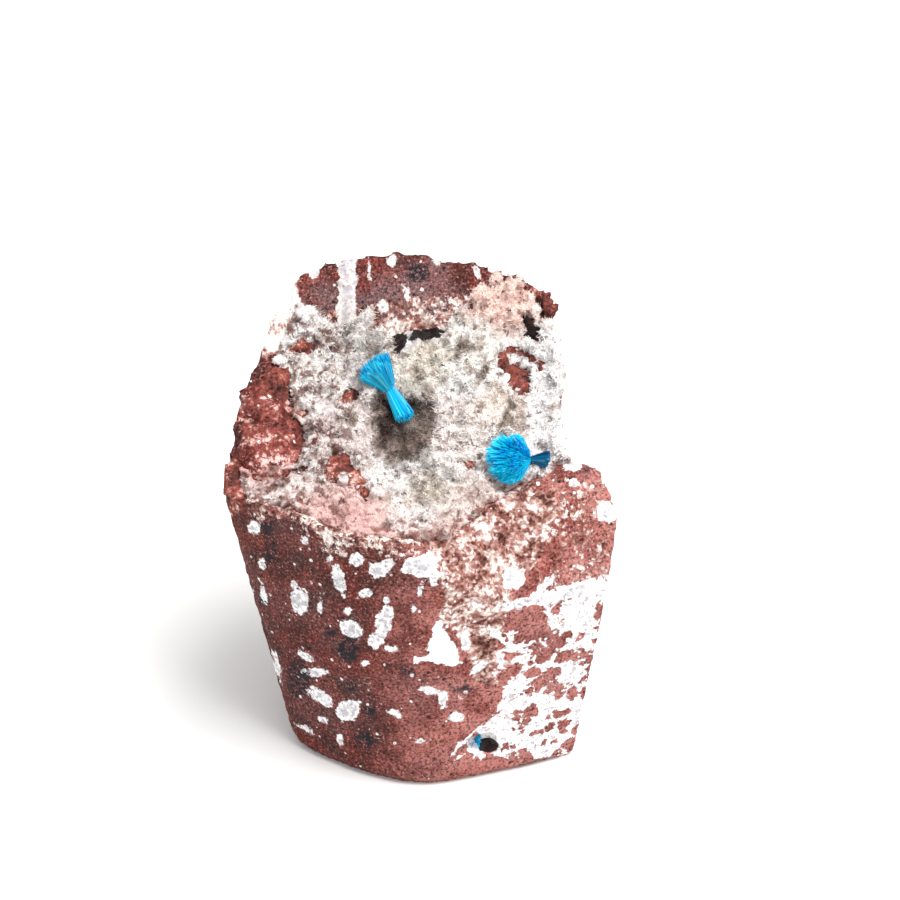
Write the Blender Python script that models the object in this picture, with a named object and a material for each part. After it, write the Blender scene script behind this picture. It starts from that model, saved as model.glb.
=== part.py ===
"""Cavansite on a zeolite-lined block of altered basalt breccia.

The block stands on its flat base. Two sawn faces meet at its front, its top is a broken surface that slopes
down to the front and holds an open vug, and its sides and back are broken stone. A crust of zeolite blades
lines the vug and most of the top. Three blue cavansite clusters stand on it: a bow-tie of two fans, a fat
rosette with a small fan, and a tuft in a pit low on the front.

Lengths below are in millimetres. +Z is up, the sawn front faces -Y, and +X is to the right. The finished
solids are moved by CENTRE_SHIFT, which puts the middle of the block's box on the origin.
"""

import math
import random

import bmesh
import bpy
import numpy as np
from mathutils import Vector, noise
from mathutils.bvhtree import BVHTree

MM = 0.001
CENTRE_SHIFT = (-0.7, 0.0, 0.0)

# The block: the grid of its top, the rows of its sides, and how deep its broken faces are chipped
TOP_CELLS = 22
SIDE_ROWS = 9
FOOT_CHAMFER = 0.8
SAWN_ROUGH = 0.05
BROKEN_ROUGH = 0.8
CHIP_SIZE = 6.5
TOP_ROUGH = 0.7
TOP_GRAIN = 2.6
TOP_JITTER = 0.45
BEDDED_CALM = 0.6
BED_FADE = (-1.2, 2.0)
SAWN_FACING = -0.55
BROKEN_FROM = (-6.0, 6.0)

# The crust: its bed below the tips of the druse, its gap to the stone, its layer and its blades
CRUST_BED = 1.5
CRUST_GAP = 0.3
CRUST_LAYER = 0.45
BLADE_MIN = 0.5
BLADE_MAX = 2.2
BLADE_TILT = 0.4
BLADE_LEAST = 0.12
BLADE_SLENDER = 1.3
BLADE_WIDE = (0.35, 0.6)
BLADE_THIN = (0.08, 0.2)
BLADE_SHORTENED = 0.7
SETTLE_ROUNDS = 20
QUAD_BEND = 0.7
CREVICE_BARE = 0.85

# The seat under a cavansite cluster: its drop from the needles to the stone, and how far it runs past them
SEAT_DROP = 1.3
SEAT_MARGIN = 1.3
CLUSTER_GAP = 0.3

# Stations around the rim, each with its top (x, y, z) and the point (x, y) of the base below it
FRONT = [
    ((-21.2, -7.2, 34.0), (-14.6, -7.0)),
    ((-19.3, -9.5, 34.4), (-13.4, -9.4)),
    ((-16.0, -11.8, 35.3), (-11.2, -11.0)),
    ((-9.3, -16.0, 34.7), (-6.5, -13.9)),
    ((-3.4, -17.9, 34.6), (-1.5, -15.8)),
    ((0.7, -17.9, 33.6), (2.0, -16.0)),
    ((3.9, -17.4, 29.8), (4.5, -15.4)),
    ((8.3, -16.5, 26.8), (8.0, -14.3)),
    ((13.9, -15.0, 25.0), (12.5, -12.8)),
    ((21.6, -12.3, 25.8), (18.4, -10.4)),
]
RIGHT = [
    ((21.6, -12.3, 25.8), (18.4, -10.4)),
    ((22.6, -9.6, 32.7), (18.3, -8.2)),
    ((22.0, -8.0, 35.4), (18.1, -6.4)),
    ((20.6, -5.8, 36.5), (17.8, -4.4)),
    ((17.6, -3.2, 36.3), (17.3, -2.4)),
    ((16.9, -0.6, 37.2), (16.8, -0.4)),
    ((16.8, 2.5, 39.4), (16.2, 2.0)),
    ((17.2, 6.5, 43.2), (15.2, 5.0)),
    ((16.5, 9.5, 46.4), (14.4, 7.5)),
    ((15.5, 13.0, 48.6), (13.4, 9.6)),
    ((14.1, 15.2, 48.7), (12.2, 11.0)),
]
BACK = [
    ((14.1, 15.2, 48.7), (12.2, 11.0)),
    ((12.2, 16.3, 49.7), (10.4, 12.0)),
    ((6.2, 17.5, 51.0), (5.0, 13.0)),
    ((-1.5, 17.8, 52.2), (-1.5, 13.4)),
    ((-9.4, 17.0, 51.6), (-7.8, 12.8)),
    ((-13.7, 16.0, 49.9), (-11.4, 11.6)),
]
LEFT = [
    ((-13.7, 16.0, 49.9), (-11.4, 11.6)),
    ((-15.1, 12.3, 48.7), (-12.4, 8.6)),
    ((-16.3, 9.1, 46.6), (-13.0, 6.0)),
    ((-17.5, 5.6, 44.1), (-13.6, 3.4)),
    ((-18.7, 2.3, 42.5), (-14.2, 0.8)),
    ((-19.9, -1.1, 40.1), (-14.6, -1.8)),
    ((-21.0, -4.1, 37.1), (-14.8, -4.2)),
    ((-21.2, -7.2, 34.0), (-14.6, -7.0)),
]

# Heights inside the rim, measured to the tips of the druse where there is druse
BACK_WALL_FOOT = [(-13.0, 11.0, 47.4), (-9.9, 11.5, 46.0), (-5.3, 12.0, 45.7), (0.5, 12.0, 44.9),
                  (5.1, 12.5, 46.0), (9.7, 13.0, 48.0), (13.0, 11.0, 46.8)]
LEFT_FACET = [(-13.2, 9.0, 46.2), (-13.1, 5.0, 43.4), (-9.8, 8.0, 44.3), (-16.0, -2.0, 39.8),
              (-12.9, -2.0, 38.6)]
DOME = [(1.6, 9.5, 44.4), (1.8, 7.4, 43.4), (3.9, 4.6, 41.6), (-1.5, 8.4, 42.9)]
HOLLOW = [(-8.5, 3.0, 40.6), (-7.3, -2.0, 38.0), (-4.4, 6.6, 40.2), (-1.2, 4.8, 36.4), (-1.6, 2.2, 33.9),
          (-1.7, -1.0, 33.2), (-2.2, -4.3, 34.2), (3.2, 0.0, 37.6)]
FRONT_LIP = [(-3.8, -8.0, 35.9), (1.7, -8.0, 35.0), (-1.6, -12.5, 34.9), (-10.0, -8.0, 36.6),
             (-15.0, -8.0, 36.4)]
RIGHT_SLOPE = [(7.3, 4.0, 42.0), (13.1, 8.0, 44.1), (14.1, 3.0, 40.6), (7.3, -1.0, 39.0), (10.4, -4.0, 36.4),
               (13.4, -3.6, 36.0)]
SHOULDER = [(9.5, -8.0, 35.4), (13.9, -7.0, 36.4), (18.3, -7.0, 36.7), (13.9, -11.0, 32.6),
            (18.3, -11.0, 31.4), (9.4, -13.0, 31.4), (5.0, -13.6, 32.8)]

# Hollows too narrow for the heights above: (x, y), radius and depth
CREVICE = [((-2.4, 10.9), 1.5, 4.2), ((0.4, 11.6), 1.1, 3.2), ((2.6, 11.5), 1.0, 2.6)]

# The edge of the druse, seen from above
DRUSE_EDGE = [(-14.0, 12.2), (-8.0, 12.6), (-2.0, 12.9), (5.0, 13.0), (7.6, 16.0), (12.2, 16.0),
              (14.4, 12.4), (16.6, 9.4), (17.6, 6.0), (17.0, 1.0), (17.6, -3.6), (12.4, -6.6), (8.4, -9.6),
              (5.0, -13.4), (0.4, -16.6), (-6.0, -16.6), (-12.0, -13.2), (-19.6, -9.0), (-19.6, -5.4),
              (-12.4, -4.6), (-13.6, 1.0), (-15.8, 6.0)]

# The pit low on the right-front face, and the tuft of needles in it
PIT_CENTRE = (7.6, -14.9, 5.4)
PIT_RADII = (1.9, 2.1, 1.5)
PIT_UNEVEN = 0.18
SPECK_CENTRE = (6.9, -14.5, 5.3)
SPECK_FANS = [((0.0, -1.0, 0.2), 60.0, 0.9), ((0.0, 1.0, -0.2), 40.0, 0.5)]
SPECK_CORE = 0.4

# Cavansite: the needles around each fan, its rows from pole to waist, and how deep its flanks are ribbed
FAN_NEEDLES = 16
SPECK_NEEDLES = 8
FAN_ROWS = 6
RIB_DEPTH = 0.14

# Where the needles of each cluster meet, and its two fans as (direction, half angle in degrees, length)
BOWTIE_WAIST = (-3.4, 5.9, 41.2)
BOWTIE_FANS = [((-2.3, 0.3, 2.3), 50.0, 3.5), ((2.25, -2.8, -2.75), 17.0, 4.4)]
BOWTIE_CORE = 0.75
ROSETTE_WAIST = (12.4, -4.9, 38.2)
ROSETTE_FANS = [((-3.9, -1.9, 0.5), 58.0, 4.2), ((2.4, -0.3, -0.1), 32.0, 2.6)]
ROSETTE_CORE = 0.7

STONE_RED = (0.19, 0.055, 0.045, 1.0)
ZEOLITE_WHITE = (0.78, 0.69, 0.65, 1.0)
CAVANSITE_BLUE = (0.0, 0.36, 0.72, 1.0)


def clear_scene():
    for thing in list(bpy.data.objects):
        bpy.data.objects.remove(thing, do_unlink=True)


def new_collection(name):
    group = bpy.data.collections.new(name)
    bpy.context.scene.collection.children.link(group)
    return group


def new_material(name, colour, roughness):
    material = bpy.data.materials.new(name)
    material.use_nodes = True
    shader = material.node_tree.nodes["Principled BSDF"]
    shader.inputs["Base Color"].default_value = colour
    shader.inputs["Roughness"].default_value = roughness
    shader.inputs["Metallic"].default_value = 0.0
    return material


def new_object(name, bm, group, material=None):
    """Turn a bmesh in millimetres into an object in metres, moved to the centre of the frame."""
    bmesh.ops.translate(bm, vec=CENTRE_SHIFT, verts=bm.verts)
    bmesh.ops.scale(bm, vec=(MM, MM, MM), verts=bm.verts)
    bmesh.ops.recalc_face_normals(bm, faces=bm.faces)
    mesh = bpy.data.meshes.new(name)
    bm.to_mesh(mesh)
    bm.free()
    if material:
        mesh.materials.append(material)
    thing = bpy.data.objects.new(name, mesh)
    group.objects.link(thing)
    return thing


def in_place_order(faces):
    """Faces sorted by where they are, so that each draws the same random numbers in every run."""
    def place(face):
        centre = face.calc_center_median()
        return round(centre.x, 3), round(centre.y, 3), round(centre.z, 3)
    return sorted(faces, key=place)


def smooth_step(low, high, value):
    share = min(1.0, max(0.0, (value - low) / (high - low)))
    return share * share * (3.0 - 2.0 * share)


def along(side, share):
    """The point at a share of a side's length, as a top (x, y, z) and a base (x, y)."""
    tops = [Vector(top) for top, base in side]
    lengths = [(b - a).length for a, b in zip(tops, tops[1:])]
    target = share * sum(lengths)
    for index, length in enumerate(lengths):
        if target <= length or index == len(lengths) - 1:
            part = min(1.0, target / length)
            top = tops[index].lerp(tops[index + 1], part)
            base = Vector(side[index][1]).lerp(Vector(side[index + 1][1]), part)
            return top, base
        target -= length


def rim_station(u, v):
    """The station for a point on the border of the unit square, or None inside it."""
    tiny = 1e-6
    if v < tiny:
        return along(FRONT, u)
    if u > 1.0 - tiny:
        return along(RIGHT, v)
    if v > 1.0 - tiny:
        return along(BACK, 1.0 - u)
    if u < tiny:
        return along(LEFT, 1.0 - v)
    return None


def plan_point(u, v):
    """Blend the four sides of the rim, so that a square grid fills the top's outline."""
    front, right = along(FRONT, u)[0].xy, along(RIGHT, v)[0].xy
    back, left = along(BACK, 1.0 - u)[0].xy, along(LEFT, 1.0 - v)[0].xy
    corners = [Vector(side[0][0]).xy for side in (FRONT, RIGHT, BACK, LEFT)]
    front_left, front_right, back_right, back_left = corners
    blend = (1.0 - v) * front + v * back + (1.0 - u) * left + u * right
    blend -= (1.0 - u) * (1.0 - v) * front_left + u * (1.0 - v) * front_right
    blend -= u * v * back_right + (1.0 - u) * v * back_left
    return blend


class TopHeights:
    """A thin plate bent through the heights of the rim and of the spots inside it."""

    def __init__(self):
        rim = [top for side in (FRONT, RIGHT, BACK, LEFT) for top, base in side[:-1]]
        spots = BACK_WALL_FOOT + LEFT_FACET + DOME + HOLLOW + FRONT_LIP + RIGHT_SLOPE + SHOULDER
        points = np.array(rim + spots)
        self.plan = points[:, :2]
        count = len(points)
        affine = np.hstack([np.ones((count, 1)), self.plan])
        system = np.zeros((count + 3, count + 3))
        system[:count, :count] = self.kernel(self.plan)
        system[:count, count:] = affine
        system[count:, :count] = affine.T
        self.weights = np.linalg.solve(system, np.append(points[:, 2], np.zeros(3)))

    def kernel(self, plan):
        distance = np.linalg.norm(plan[:, None, :] - self.plan[None, :, :], axis=2)
        return np.where(distance > 0.0, distance ** 2 * np.log(np.maximum(distance, 1e-9)), 0.0)

    def at(self, x, y):
        row = np.append(self.kernel(np.array([[x, y]]))[0], [1.0, x, y])
        return float(row @ self.weights)


def inside_edge(x, y):
    """How far (x, y) lies inside the edge of the druse, negative outside it."""
    inside = False
    nearest = 1e9
    point = Vector((x, y))
    for a, b in zip(DRUSE_EDGE, DRUSE_EDGE[1:] + DRUSE_EDGE[:1]):
        start, run = Vector(a), Vector(b) - Vector(a)
        share = min(1.0, max(0.0, (point - start).dot(run) / run.length_squared))
        nearest = min(nearest, (point - start - run * share).length)
        if (a[1] > y) != (b[1] > y) and x < a[0] + (y - a[1]) / (b[1] - a[1]) * (b[0] - a[0]):
            inside = not inside
    return nearest if inside else -nearest


def in_crevice(x, y):
    """Whether (x, y) is over the part of the crevice that no druse grows in."""
    for (centre_x, centre_y), radius, depth in CREVICE:
        if math.hypot(x - centre_x, y - centre_y) < radius * CREVICE_BARE:
            return True
    return False


def seat_height(x, y, clusters):
    """The highest that the stone may stand at (x, y) and still clear the clusters above it."""
    level = 1e9
    steps = [SEAT_MARGIN * share for share in (-1.0, -0.5, 0.0, 0.5, 1.0)]
    for tree in clusters:
        for step_x in steps:
            for step_y in steps:
                hit = tree.ray_cast(Vector((x + step_x, y + step_y, 0.0)), Vector((0.0, 0.0, 1.0)))[0]
                if hit:
                    level = min(level, hit.z - SEAT_DROP)
    return level


def stone_height(heights, clusters, x, y):
    """The stone's own surface: the heights less the bed of the druse, the crevice and the broken grain."""
    bedded = smooth_step(*BED_FADE, inside_edge(x, y))
    level = heights.at(x, y) - CRUST_BED * bedded
    for (centre_x, centre_y), radius, depth in CREVICE:
        reach = math.hypot(x - centre_x, y - centre_y) / radius
        level -= depth * math.exp(-reach * reach)
    level += TOP_ROUGH * (1.0 - BEDDED_CALM * bedded) * noise.noise(Vector((x, y, 4.0)) / TOP_GRAIN)
    return min(level, seat_height(x, y, clusters))


def chip_depth(point, roughness):
    """Flat chips with edges between them, as on broken stone."""
    nearest = noise.voronoi(point / CHIP_SIZE)[0]
    return roughness * (1.6 * (nearest[1] - nearest[0]) - 0.5 + noise.noise(point / 2.0))


def side_roughness(point, outward):
    """The sawn faces look to the front, and the stone is more broken the further back a side runs."""
    if outward.y < SAWN_FACING:
        return SAWN_ROUGH
    return SAWN_ROUGH + (BROKEN_ROUGH - SAWN_ROUGH) * smooth_step(*BROKEN_FROM, point.y)


def jitter(u, v, depth):
    """A small step of a grid point along the unit square, the same in every run."""
    spot = Vector((u * TOP_CELLS, v * TOP_CELLS, depth)) * 1.7
    return noise.noise(spot) * TOP_JITTER / TOP_CELLS


def top_sheet(heights, clusters):
    """The stone's broken top as a sheet of triangles, each point with its place (u, v) in the unit square."""
    bm = bmesh.new()
    bmesh.ops.create_grid(bm, x_segments=TOP_CELLS, y_segments=TOP_CELLS, size=0.5)
    bm.verts.layers.float.new("u")
    bm.verts.layers.float.new("v")
    layer_u, layer_v = bm.verts.layers.float["u"], bm.verts.layers.float["v"]
    for vert in bm.verts:
        u, v = vert.co.x + 0.5, vert.co.y + 0.5
        vert[layer_u], vert[layer_v] = u, v
        station = rim_station(u, v)
        plan = plan_point(u + jitter(u, v, 3.0), v + jitter(u, v, 9.0))
        if station:
            vert.co = station[0]
        else:
            vert.co = (plan.x, plan.y, stone_height(heights, clusters, plan.x, plan.y))
    bmesh.ops.triangulate(bm, faces=bm.faces, quad_method="SHORT_EDGE")
    return bm


def side_point(u, v, share):
    """A point a share of the way down the side, with its chips or saw marks."""
    top, base = rim_station(u, v)
    foot = Vector((base.x, base.y, 0.0))
    point = top.lerp(foot, share)
    outward = Vector((point.x, point.y * 1.2, 0.0)).normalized()
    fade = math.sin(math.pi * min(1.0, share * 1.04)) ** 0.5
    depth = chip_depth(point, side_roughness(point, outward)) * fade
    if share > 0.999:
        depth -= FOOT_CHAMFER
    return point + outward * depth


def build_block(heights, clusters, group, material):
    bm = top_sheet(heights, clusters)
    layer_u, layer_v = bm.verts.layers.float["u"], bm.verts.layers.float["v"]
    ring = [edge for edge in bm.edges if edge.is_boundary]
    shares = [(row + 1) / SIDE_ROWS for row in range(SIDE_ROWS)]
    shares.insert(-1, 1.0 - 0.25 / SIDE_ROWS)
    for share in shares:
        made = bmesh.ops.extrude_edge_only(bm, edges=ring)["geom"]
        for vert in [item for item in made if isinstance(item, bmesh.types.BMVert)]:
            vert.co = side_point(vert[layer_u], vert[layer_v], share)
        ring = [item for item in made if isinstance(item, bmesh.types.BMEdge) and item.is_boundary]
    bmesh.ops.contextual_create(bm, geom=ring)
    tree = BVHTree.FromBMesh(bm)
    return new_object("matrix_rock", bm, group, material), tree


def cut_pit(block, cutters):
    """The pit low on the front is a lump of the stone taken out."""
    bm = bmesh.new()
    bmesh.ops.create_icosphere(bm, subdivisions=2, radius=1.0)
    bmesh.ops.scale(bm, vec=PIT_RADII, verts=bm.verts)
    for vert in bm.verts:
        vert.co *= 1.0 + PIT_UNEVEN * noise.noise(vert.co * 1.1)
    bmesh.ops.translate(bm, vec=PIT_CENTRE, verts=bm.verts)
    cutter = new_object("pit_cutter", bm, cutters)
    cutter.hide_render = True
    cutter.display_type = "WIRE"
    cut = block.modifiers.new("pit", "BOOLEAN")
    cut.operation = "DIFFERENCE"
    cut.solver = "EXACT"
    cut.object = cutter


def in_druse(face):
    centre = face.calc_center_median()
    return inside_edge(centre.x, centre.y) > 0.0 and not in_crevice(centre.x, centre.y)


def drop_pinched_faces(bm):
    """Remove faces until the crust's outline nowhere touches itself at a single corner."""
    while True:
        pinched = [vert for vert in bm.verts if sum(edge.is_boundary for edge in vert.link_edges) > 2]
        if not pinched:
            return
        faces = {min(vert.link_faces, key=lambda face: inside_edge(*face.calc_center_median().xy))
                 for vert in pinched}
        bmesh.ops.delete(bm, geom=list(faces), context="FACES")


def keep_largest_island(bm):
    """The crust is one growth, so crumbs that its edge cuts off are removed."""
    left = set(bm.faces)
    islands = []
    while left:
        island = set()
        front = [min(left, key=lambda face: face.index)]
        while front:
            face = front.pop()
            if face in left:
                left.remove(face)
                island.add(face)
                front += [near for edge in face.edges for near in edge.link_faces if near in left]
        islands.append(island)
    islands.sort(key=len)
    crumbs = [face for island in islands[:-1] for face in island]
    bmesh.ops.delete(bm, geom=crumbs, context="FACES")


def build_crust(heights, clusters, stone, group, material, rng):
    """Lift a copy of the stone's top clear of it, give it a thickness and raise a blade from each face."""
    bm = top_sheet(heights, clusters)
    outside = [face for face in bm.faces if not in_druse(face)]
    bmesh.ops.delete(bm, geom=outside, context="FACES")
    drop_pinched_faces(bm)
    keep_largest_island(bm)
    bm.normal_update()
    for vert, normal in [(vert, vert.normal.copy()) for vert in bm.verts]:
        vert.co += normal * CRUST_GAP
    under = list(bm.faces)
    made = bmesh.ops.extrude_face_region(bm, geom=under, use_keep_orig=True)["geom"]
    upper_faces = [item for item in made if isinstance(item, bmesh.types.BMFace)]
    upper_verts = [item for item in made if isinstance(item, bmesh.types.BMVert)]
    for vert, normal in [(vert, vert.normal.copy()) for vert in upper_verts]:
        vert.co += normal * CRUST_LAYER
    bmesh.ops.reverse_faces(bm, faces=under)
    tops = set(upper_verts)
    bmesh.ops.join_triangles(bm, faces=upper_faces, angle_face_threshold=QUAD_BEND,
                             angle_shape_threshold=math.pi)
    bm.normal_update()
    upper = in_place_order(face for face in bm.faces if tops.issuperset(face.verts))
    blades = [grow_blade(bm, face, rng) for face in upper]
    settle_blades(bm, blades, clusters, stone)
    return new_object("crystal_crust", bm, group, material)


def grow_blade(bm, face, rng):
    """Raise one flattened blade with a chisel tip from a face of the crust, and return its tip and foot."""
    foot = face.calc_center_median()
    normal = face.normal.copy()
    height = BLADE_MIN + (BLADE_MAX - BLADE_MIN) * rng.random() ** 1.6
    height = min(height, BLADE_SLENDER * math.sqrt(face.calc_area()))
    tilt = Vector((rng.uniform(-1, 1), rng.uniform(-1, 1), rng.uniform(-0.4, 1))) * BLADE_TILT
    lean = (normal + tilt).normalized()
    flat = normal.cross(Vector((rng.uniform(-1, 1), rng.uniform(-1, 1), 0.3))).normalized()
    thin = normal.cross(flat)
    wide_share, thin_share = rng.uniform(*BLADE_WIDE), rng.uniform(*BLADE_THIN)
    bmesh.ops.inset_individual(bm, faces=[face], thickness=0.0, depth=0.0)
    for vert in face.verts:
        offset = vert.co - foot
        wide, narrow = offset.dot(flat) * wide_share, offset.dot(thin) * thin_share
        vert.co = foot + flat * wide + thin * narrow + lean * height
    return list(face.verts), foot, normal


def settle_blades(bm, blades, clusters, stone):
    """Shorten each blade that runs into another blade or the stone, or comes too near a cluster."""
    blade_of = {vert: index for index, (verts, foot, normal) in enumerate(blades) for vert in verts}
    for attempt in range(SETTLE_ROUNDS):
        tree = BVHTree.FromBMesh(bm)
        bm.faces.ensure_lookup_table()
        crossing = set()
        for first, second in tree.overlap(tree):
            pair = bm.faces[first], bm.faces[second]
            if first < second and not set(pair[0].verts) & set(pair[1].verts):
                crossing |= {blade_of[vert] for face in pair for vert in face.verts if vert in blade_of}
        for cluster in clusters:
            for vert, index in blade_of.items():
                if cluster.find_nearest(vert.co, CLUSTER_GAP * 2.0)[0]:
                    crossing.add(index)
        for obstacle in clusters + [stone]:
            for first, second in tree.overlap(obstacle):
                crossing |= {blade_of[vert] for vert in bm.faces[first].verts if vert in blade_of}
        if not crossing:
            return
        for index in crossing:
            verts, foot, normal = blades[index]
            for vert in verts:
                low = foot + normal * BLADE_LEAST
                vert.co = low + (vert.co - low) * BLADE_SHORTENED


def fan_rings(half_angle, length, core):
    """Rings of (along, across) the axis of a fan, from its pole over its cap and down its flank."""
    rings = []
    for share, reach in ((0.0, 1.0), (0.36, 0.99), (0.7, 0.95), (1.0, 0.87)):
        angle = math.radians(half_angle * share)
        rings.append(Vector((math.cos(angle), math.sin(angle))) * length * reach)
    waist = Vector((0.0, core))
    rings.append(rings[3].lerp(waist, 0.45))
    rings.append(rings[3].lerp(waist, 0.8))
    return rings


def build_cluster(name, waist, fans, core, needles, group, material, rng):
    """Needles that radiate from a waist: a ball with its two ends pulled out into fans with ribbed flanks."""
    bm = bmesh.new()
    rows = 2 * FAN_ROWS
    bmesh.ops.create_uvsphere(bm, u_segments=needles, v_segments=rows, radius=1.0)
    axes = [Vector(direction).normalized() for direction, half_angle, length in fans]
    rings = [fan_rings(half_angle, length, core) for direction, half_angle, length in fans]
    middle = (axes[0] - axes[1]).normalized()
    side = middle.orthogonal().normalized()
    other = middle.cross(side)
    capped = set()
    for vert in bm.verts:
        row = round(vert.co.angle(Vector((0.0, 0.0, 1.0))) / math.pi * rows)
        turn = math.atan2(vert.co.y, vert.co.x)
        end = 0 if row < FAN_ROWS else 1
        step = min(row, rows - row)
        across = side * math.cos(turn) + other * math.sin(turn)
        if step == FAN_ROWS:
            vert.co = across * core
            continue
        along_axis, off_axis = rings[end][step]
        across = (across - axes[end] * across.dot(axes[end])).normalized()
        if step > 1 and round(turn / math.tau * needles) % 2:
            off_axis *= 1.0 - RIB_DEPTH
        vert.co = axes[end] * along_axis + across * off_axis
        if step < 4:
            capped.add(vert)
    for face in in_place_order(face for face in bm.faces if capped.issuperset(face.verts)):
        raise_tip(bm, face, rng)
    bmesh.ops.translate(bm, vec=waist, verts=bm.verts)
    tree = BVHTree.FromBMesh(bm)
    new_object(name, bm, group, material)
    return tree


def raise_tip(bm, face, rng):
    """Draw the outer end of one needle to a small flat tip."""
    centre = face.calc_center_median()
    bmesh.ops.inset_individual(bm, faces=[face], thickness=0.0, depth=0.0)
    rise, shrink = 1.0 + rng.uniform(0.02, 0.15), rng.uniform(0.25, 0.5)
    for vert in face.verts:
        vert.co = (centre + (vert.co - centre) * shrink) * rise


def build():
    clear_scene()
    specimen = new_collection("cavansite_specimen")
    cutters = new_collection("cutters")
    stone = new_material("altered_basalt", STONE_RED, 0.8)
    zeolite = new_material("zeolite", ZEOLITE_WHITE, 0.3)
    cavansite = new_material("cavansite", CAVANSITE_BLUE, 0.35)
    clusters = [
        build_cluster("cavansite_bowtie", BOWTIE_WAIST, BOWTIE_FANS, BOWTIE_CORE, FAN_NEEDLES, specimen,
                      cavansite, random.Random(21)),
        build_cluster("cavansite_rosette", ROSETTE_WAIST, ROSETTE_FANS, ROSETTE_CORE, FAN_NEEDLES, specimen,
                      cavansite, random.Random(31)),
    ]
    build_cluster("cavansite_speck", SPECK_CENTRE, SPECK_FANS, SPECK_CORE, SPECK_NEEDLES, specimen, cavansite,
                  random.Random(41))
    heights = TopHeights()
    block, stone_tree = build_block(heights, clusters, specimen, stone)
    cut_pit(block, cutters)
    build_crust(heights, clusters, stone_tree, specimen, zeolite, random.Random(11))


build()
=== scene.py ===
# %% [markdown]
# # Cavansite on a zeolite-lined block of basalt
#
# The specimen is a block of red-brown altered basalt. Its front was sawn, its top was broken open, and the
# broken top holds a hollow lined with a druse of pale zeolite crystals. Blue cavansite stands on the druse.
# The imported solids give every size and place. This script makes the surfaces that the eye reads: the grain
# and the white veins of the stone, thousands of small glassy blades, and the blue needles. Lengths are in
# millimetres until a mesh is finished.

import math

import bpy
import numpy as np
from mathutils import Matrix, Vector, noise


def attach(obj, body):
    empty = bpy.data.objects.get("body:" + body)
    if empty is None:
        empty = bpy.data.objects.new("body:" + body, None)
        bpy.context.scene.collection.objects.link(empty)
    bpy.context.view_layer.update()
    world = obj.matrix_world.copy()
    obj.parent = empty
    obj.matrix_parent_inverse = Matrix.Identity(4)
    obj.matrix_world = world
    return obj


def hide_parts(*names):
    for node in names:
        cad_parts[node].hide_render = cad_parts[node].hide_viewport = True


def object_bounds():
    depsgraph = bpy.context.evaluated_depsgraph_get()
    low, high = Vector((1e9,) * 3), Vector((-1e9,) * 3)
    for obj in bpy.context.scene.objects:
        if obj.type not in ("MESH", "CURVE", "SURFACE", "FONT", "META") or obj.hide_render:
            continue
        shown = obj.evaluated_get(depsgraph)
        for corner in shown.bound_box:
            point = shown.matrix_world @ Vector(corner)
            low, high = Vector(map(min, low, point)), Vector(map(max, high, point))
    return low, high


MM = 0.001
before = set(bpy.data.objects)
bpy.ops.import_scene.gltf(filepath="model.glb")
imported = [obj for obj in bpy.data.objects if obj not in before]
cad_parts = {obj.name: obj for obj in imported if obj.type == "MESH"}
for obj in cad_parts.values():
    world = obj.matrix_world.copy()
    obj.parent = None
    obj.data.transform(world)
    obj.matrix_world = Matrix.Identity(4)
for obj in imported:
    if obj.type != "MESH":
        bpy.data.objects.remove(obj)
cad_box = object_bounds()
print("solids:", ", ".join(sorted(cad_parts)))

# %% [markdown]
# ## The camera comes first
#
# The photograph looks down at the stone through a long lens. The camera is made before any piece, because
# the marks on the stone are placed by where the photograph shows them: a point of the surface is carried
# into the picture, and the picture's shapes are then measured around it. One pixel there is about a ninth
# of a millimetre on the stone.

# %% Camera
CAMERA_SPOT = np.array((3.23, -240.3, 186.0))
CAMERA_TILT = math.radians(32.0)
LENS = 100.0
SENSOR = 36.0
PHOTO_SIDE = 900.0
FOCAL = PHOTO_SIDE * LENS / SENSOR
PIXEL = 0.112

bpy.ops.object.camera_add(location=CAMERA_SPOT * MM, rotation=(math.pi / 2.0 - CAMERA_TILT, 0.0, 0.0))
camera = bpy.context.object
camera.name = "camera"
camera.data.lens = LENS
camera.data.sensor_width = SENSOR
camera.data.clip_start = 0.01
bpy.context.scene.camera = camera


def to_photo(points):
    """Where each point (x, y, z) lands in the photograph, as (across, down) in pixels."""
    away = points - CAMERA_SPOT
    forward = np.array((0.0, math.cos(CAMERA_TILT), -math.sin(CAMERA_TILT)))
    upward = np.array((0.0, math.sin(CAMERA_TILT), math.cos(CAMERA_TILT)))
    depth = away @ forward
    across = PHOTO_SIDE / 2.0 + FOCAL * away[:, 0] / depth
    down = PHOTO_SIDE / 2.0 - FOCAL * (away @ upward) / depth
    return np.stack([across, down], axis=1)


print("the middle of the solids lands at", to_photo(np.array([[0.0, 0.0, 26.0]]))[0].round(1))

# %% [markdown]
# ## Helpers for sculpting in code
#
# A broken stone has no edges to bevel or extrude. It is shaped as by a sculpting brush: each vertex is
# moved a little along its normal, by a smooth random number that depends only on its place. That gives the
# same stone in every run. Arrays hold all the vertices at once, because there are many thousands of them.

# %% Helpers


def read_vertices(piece):
    """Where a piece's vertices are in millimetres, and the normal at each."""
    points, normals = np.empty((2, len(piece.data.vertices) * 3))
    piece.data.vertices.foreach_get("co", points)
    piece.data.vertices.foreach_get("normal", normals)
    return points.reshape(-1, 3) / MM, normals.reshape(-1, 3)


def write_points(piece, points):
    """Put vertices back, none of them outside the box of the solids."""
    low, high = np.array(cad_box[0]) / MM, np.array(cad_box[1]) / MM
    inside = np.clip(points, low, high)
    piece.data.vertices.foreach_set("co", (inside * MM).ravel())
    piece.data.update()


def smooth(low, high, values):
    """Zero at low, one at high, and a soft slope between them. Low may be the larger one."""
    share = np.clip((values - low) / (high - low), 0.0, 1.0)
    return share * share * (3.0 - 2.0 * share)


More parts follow.
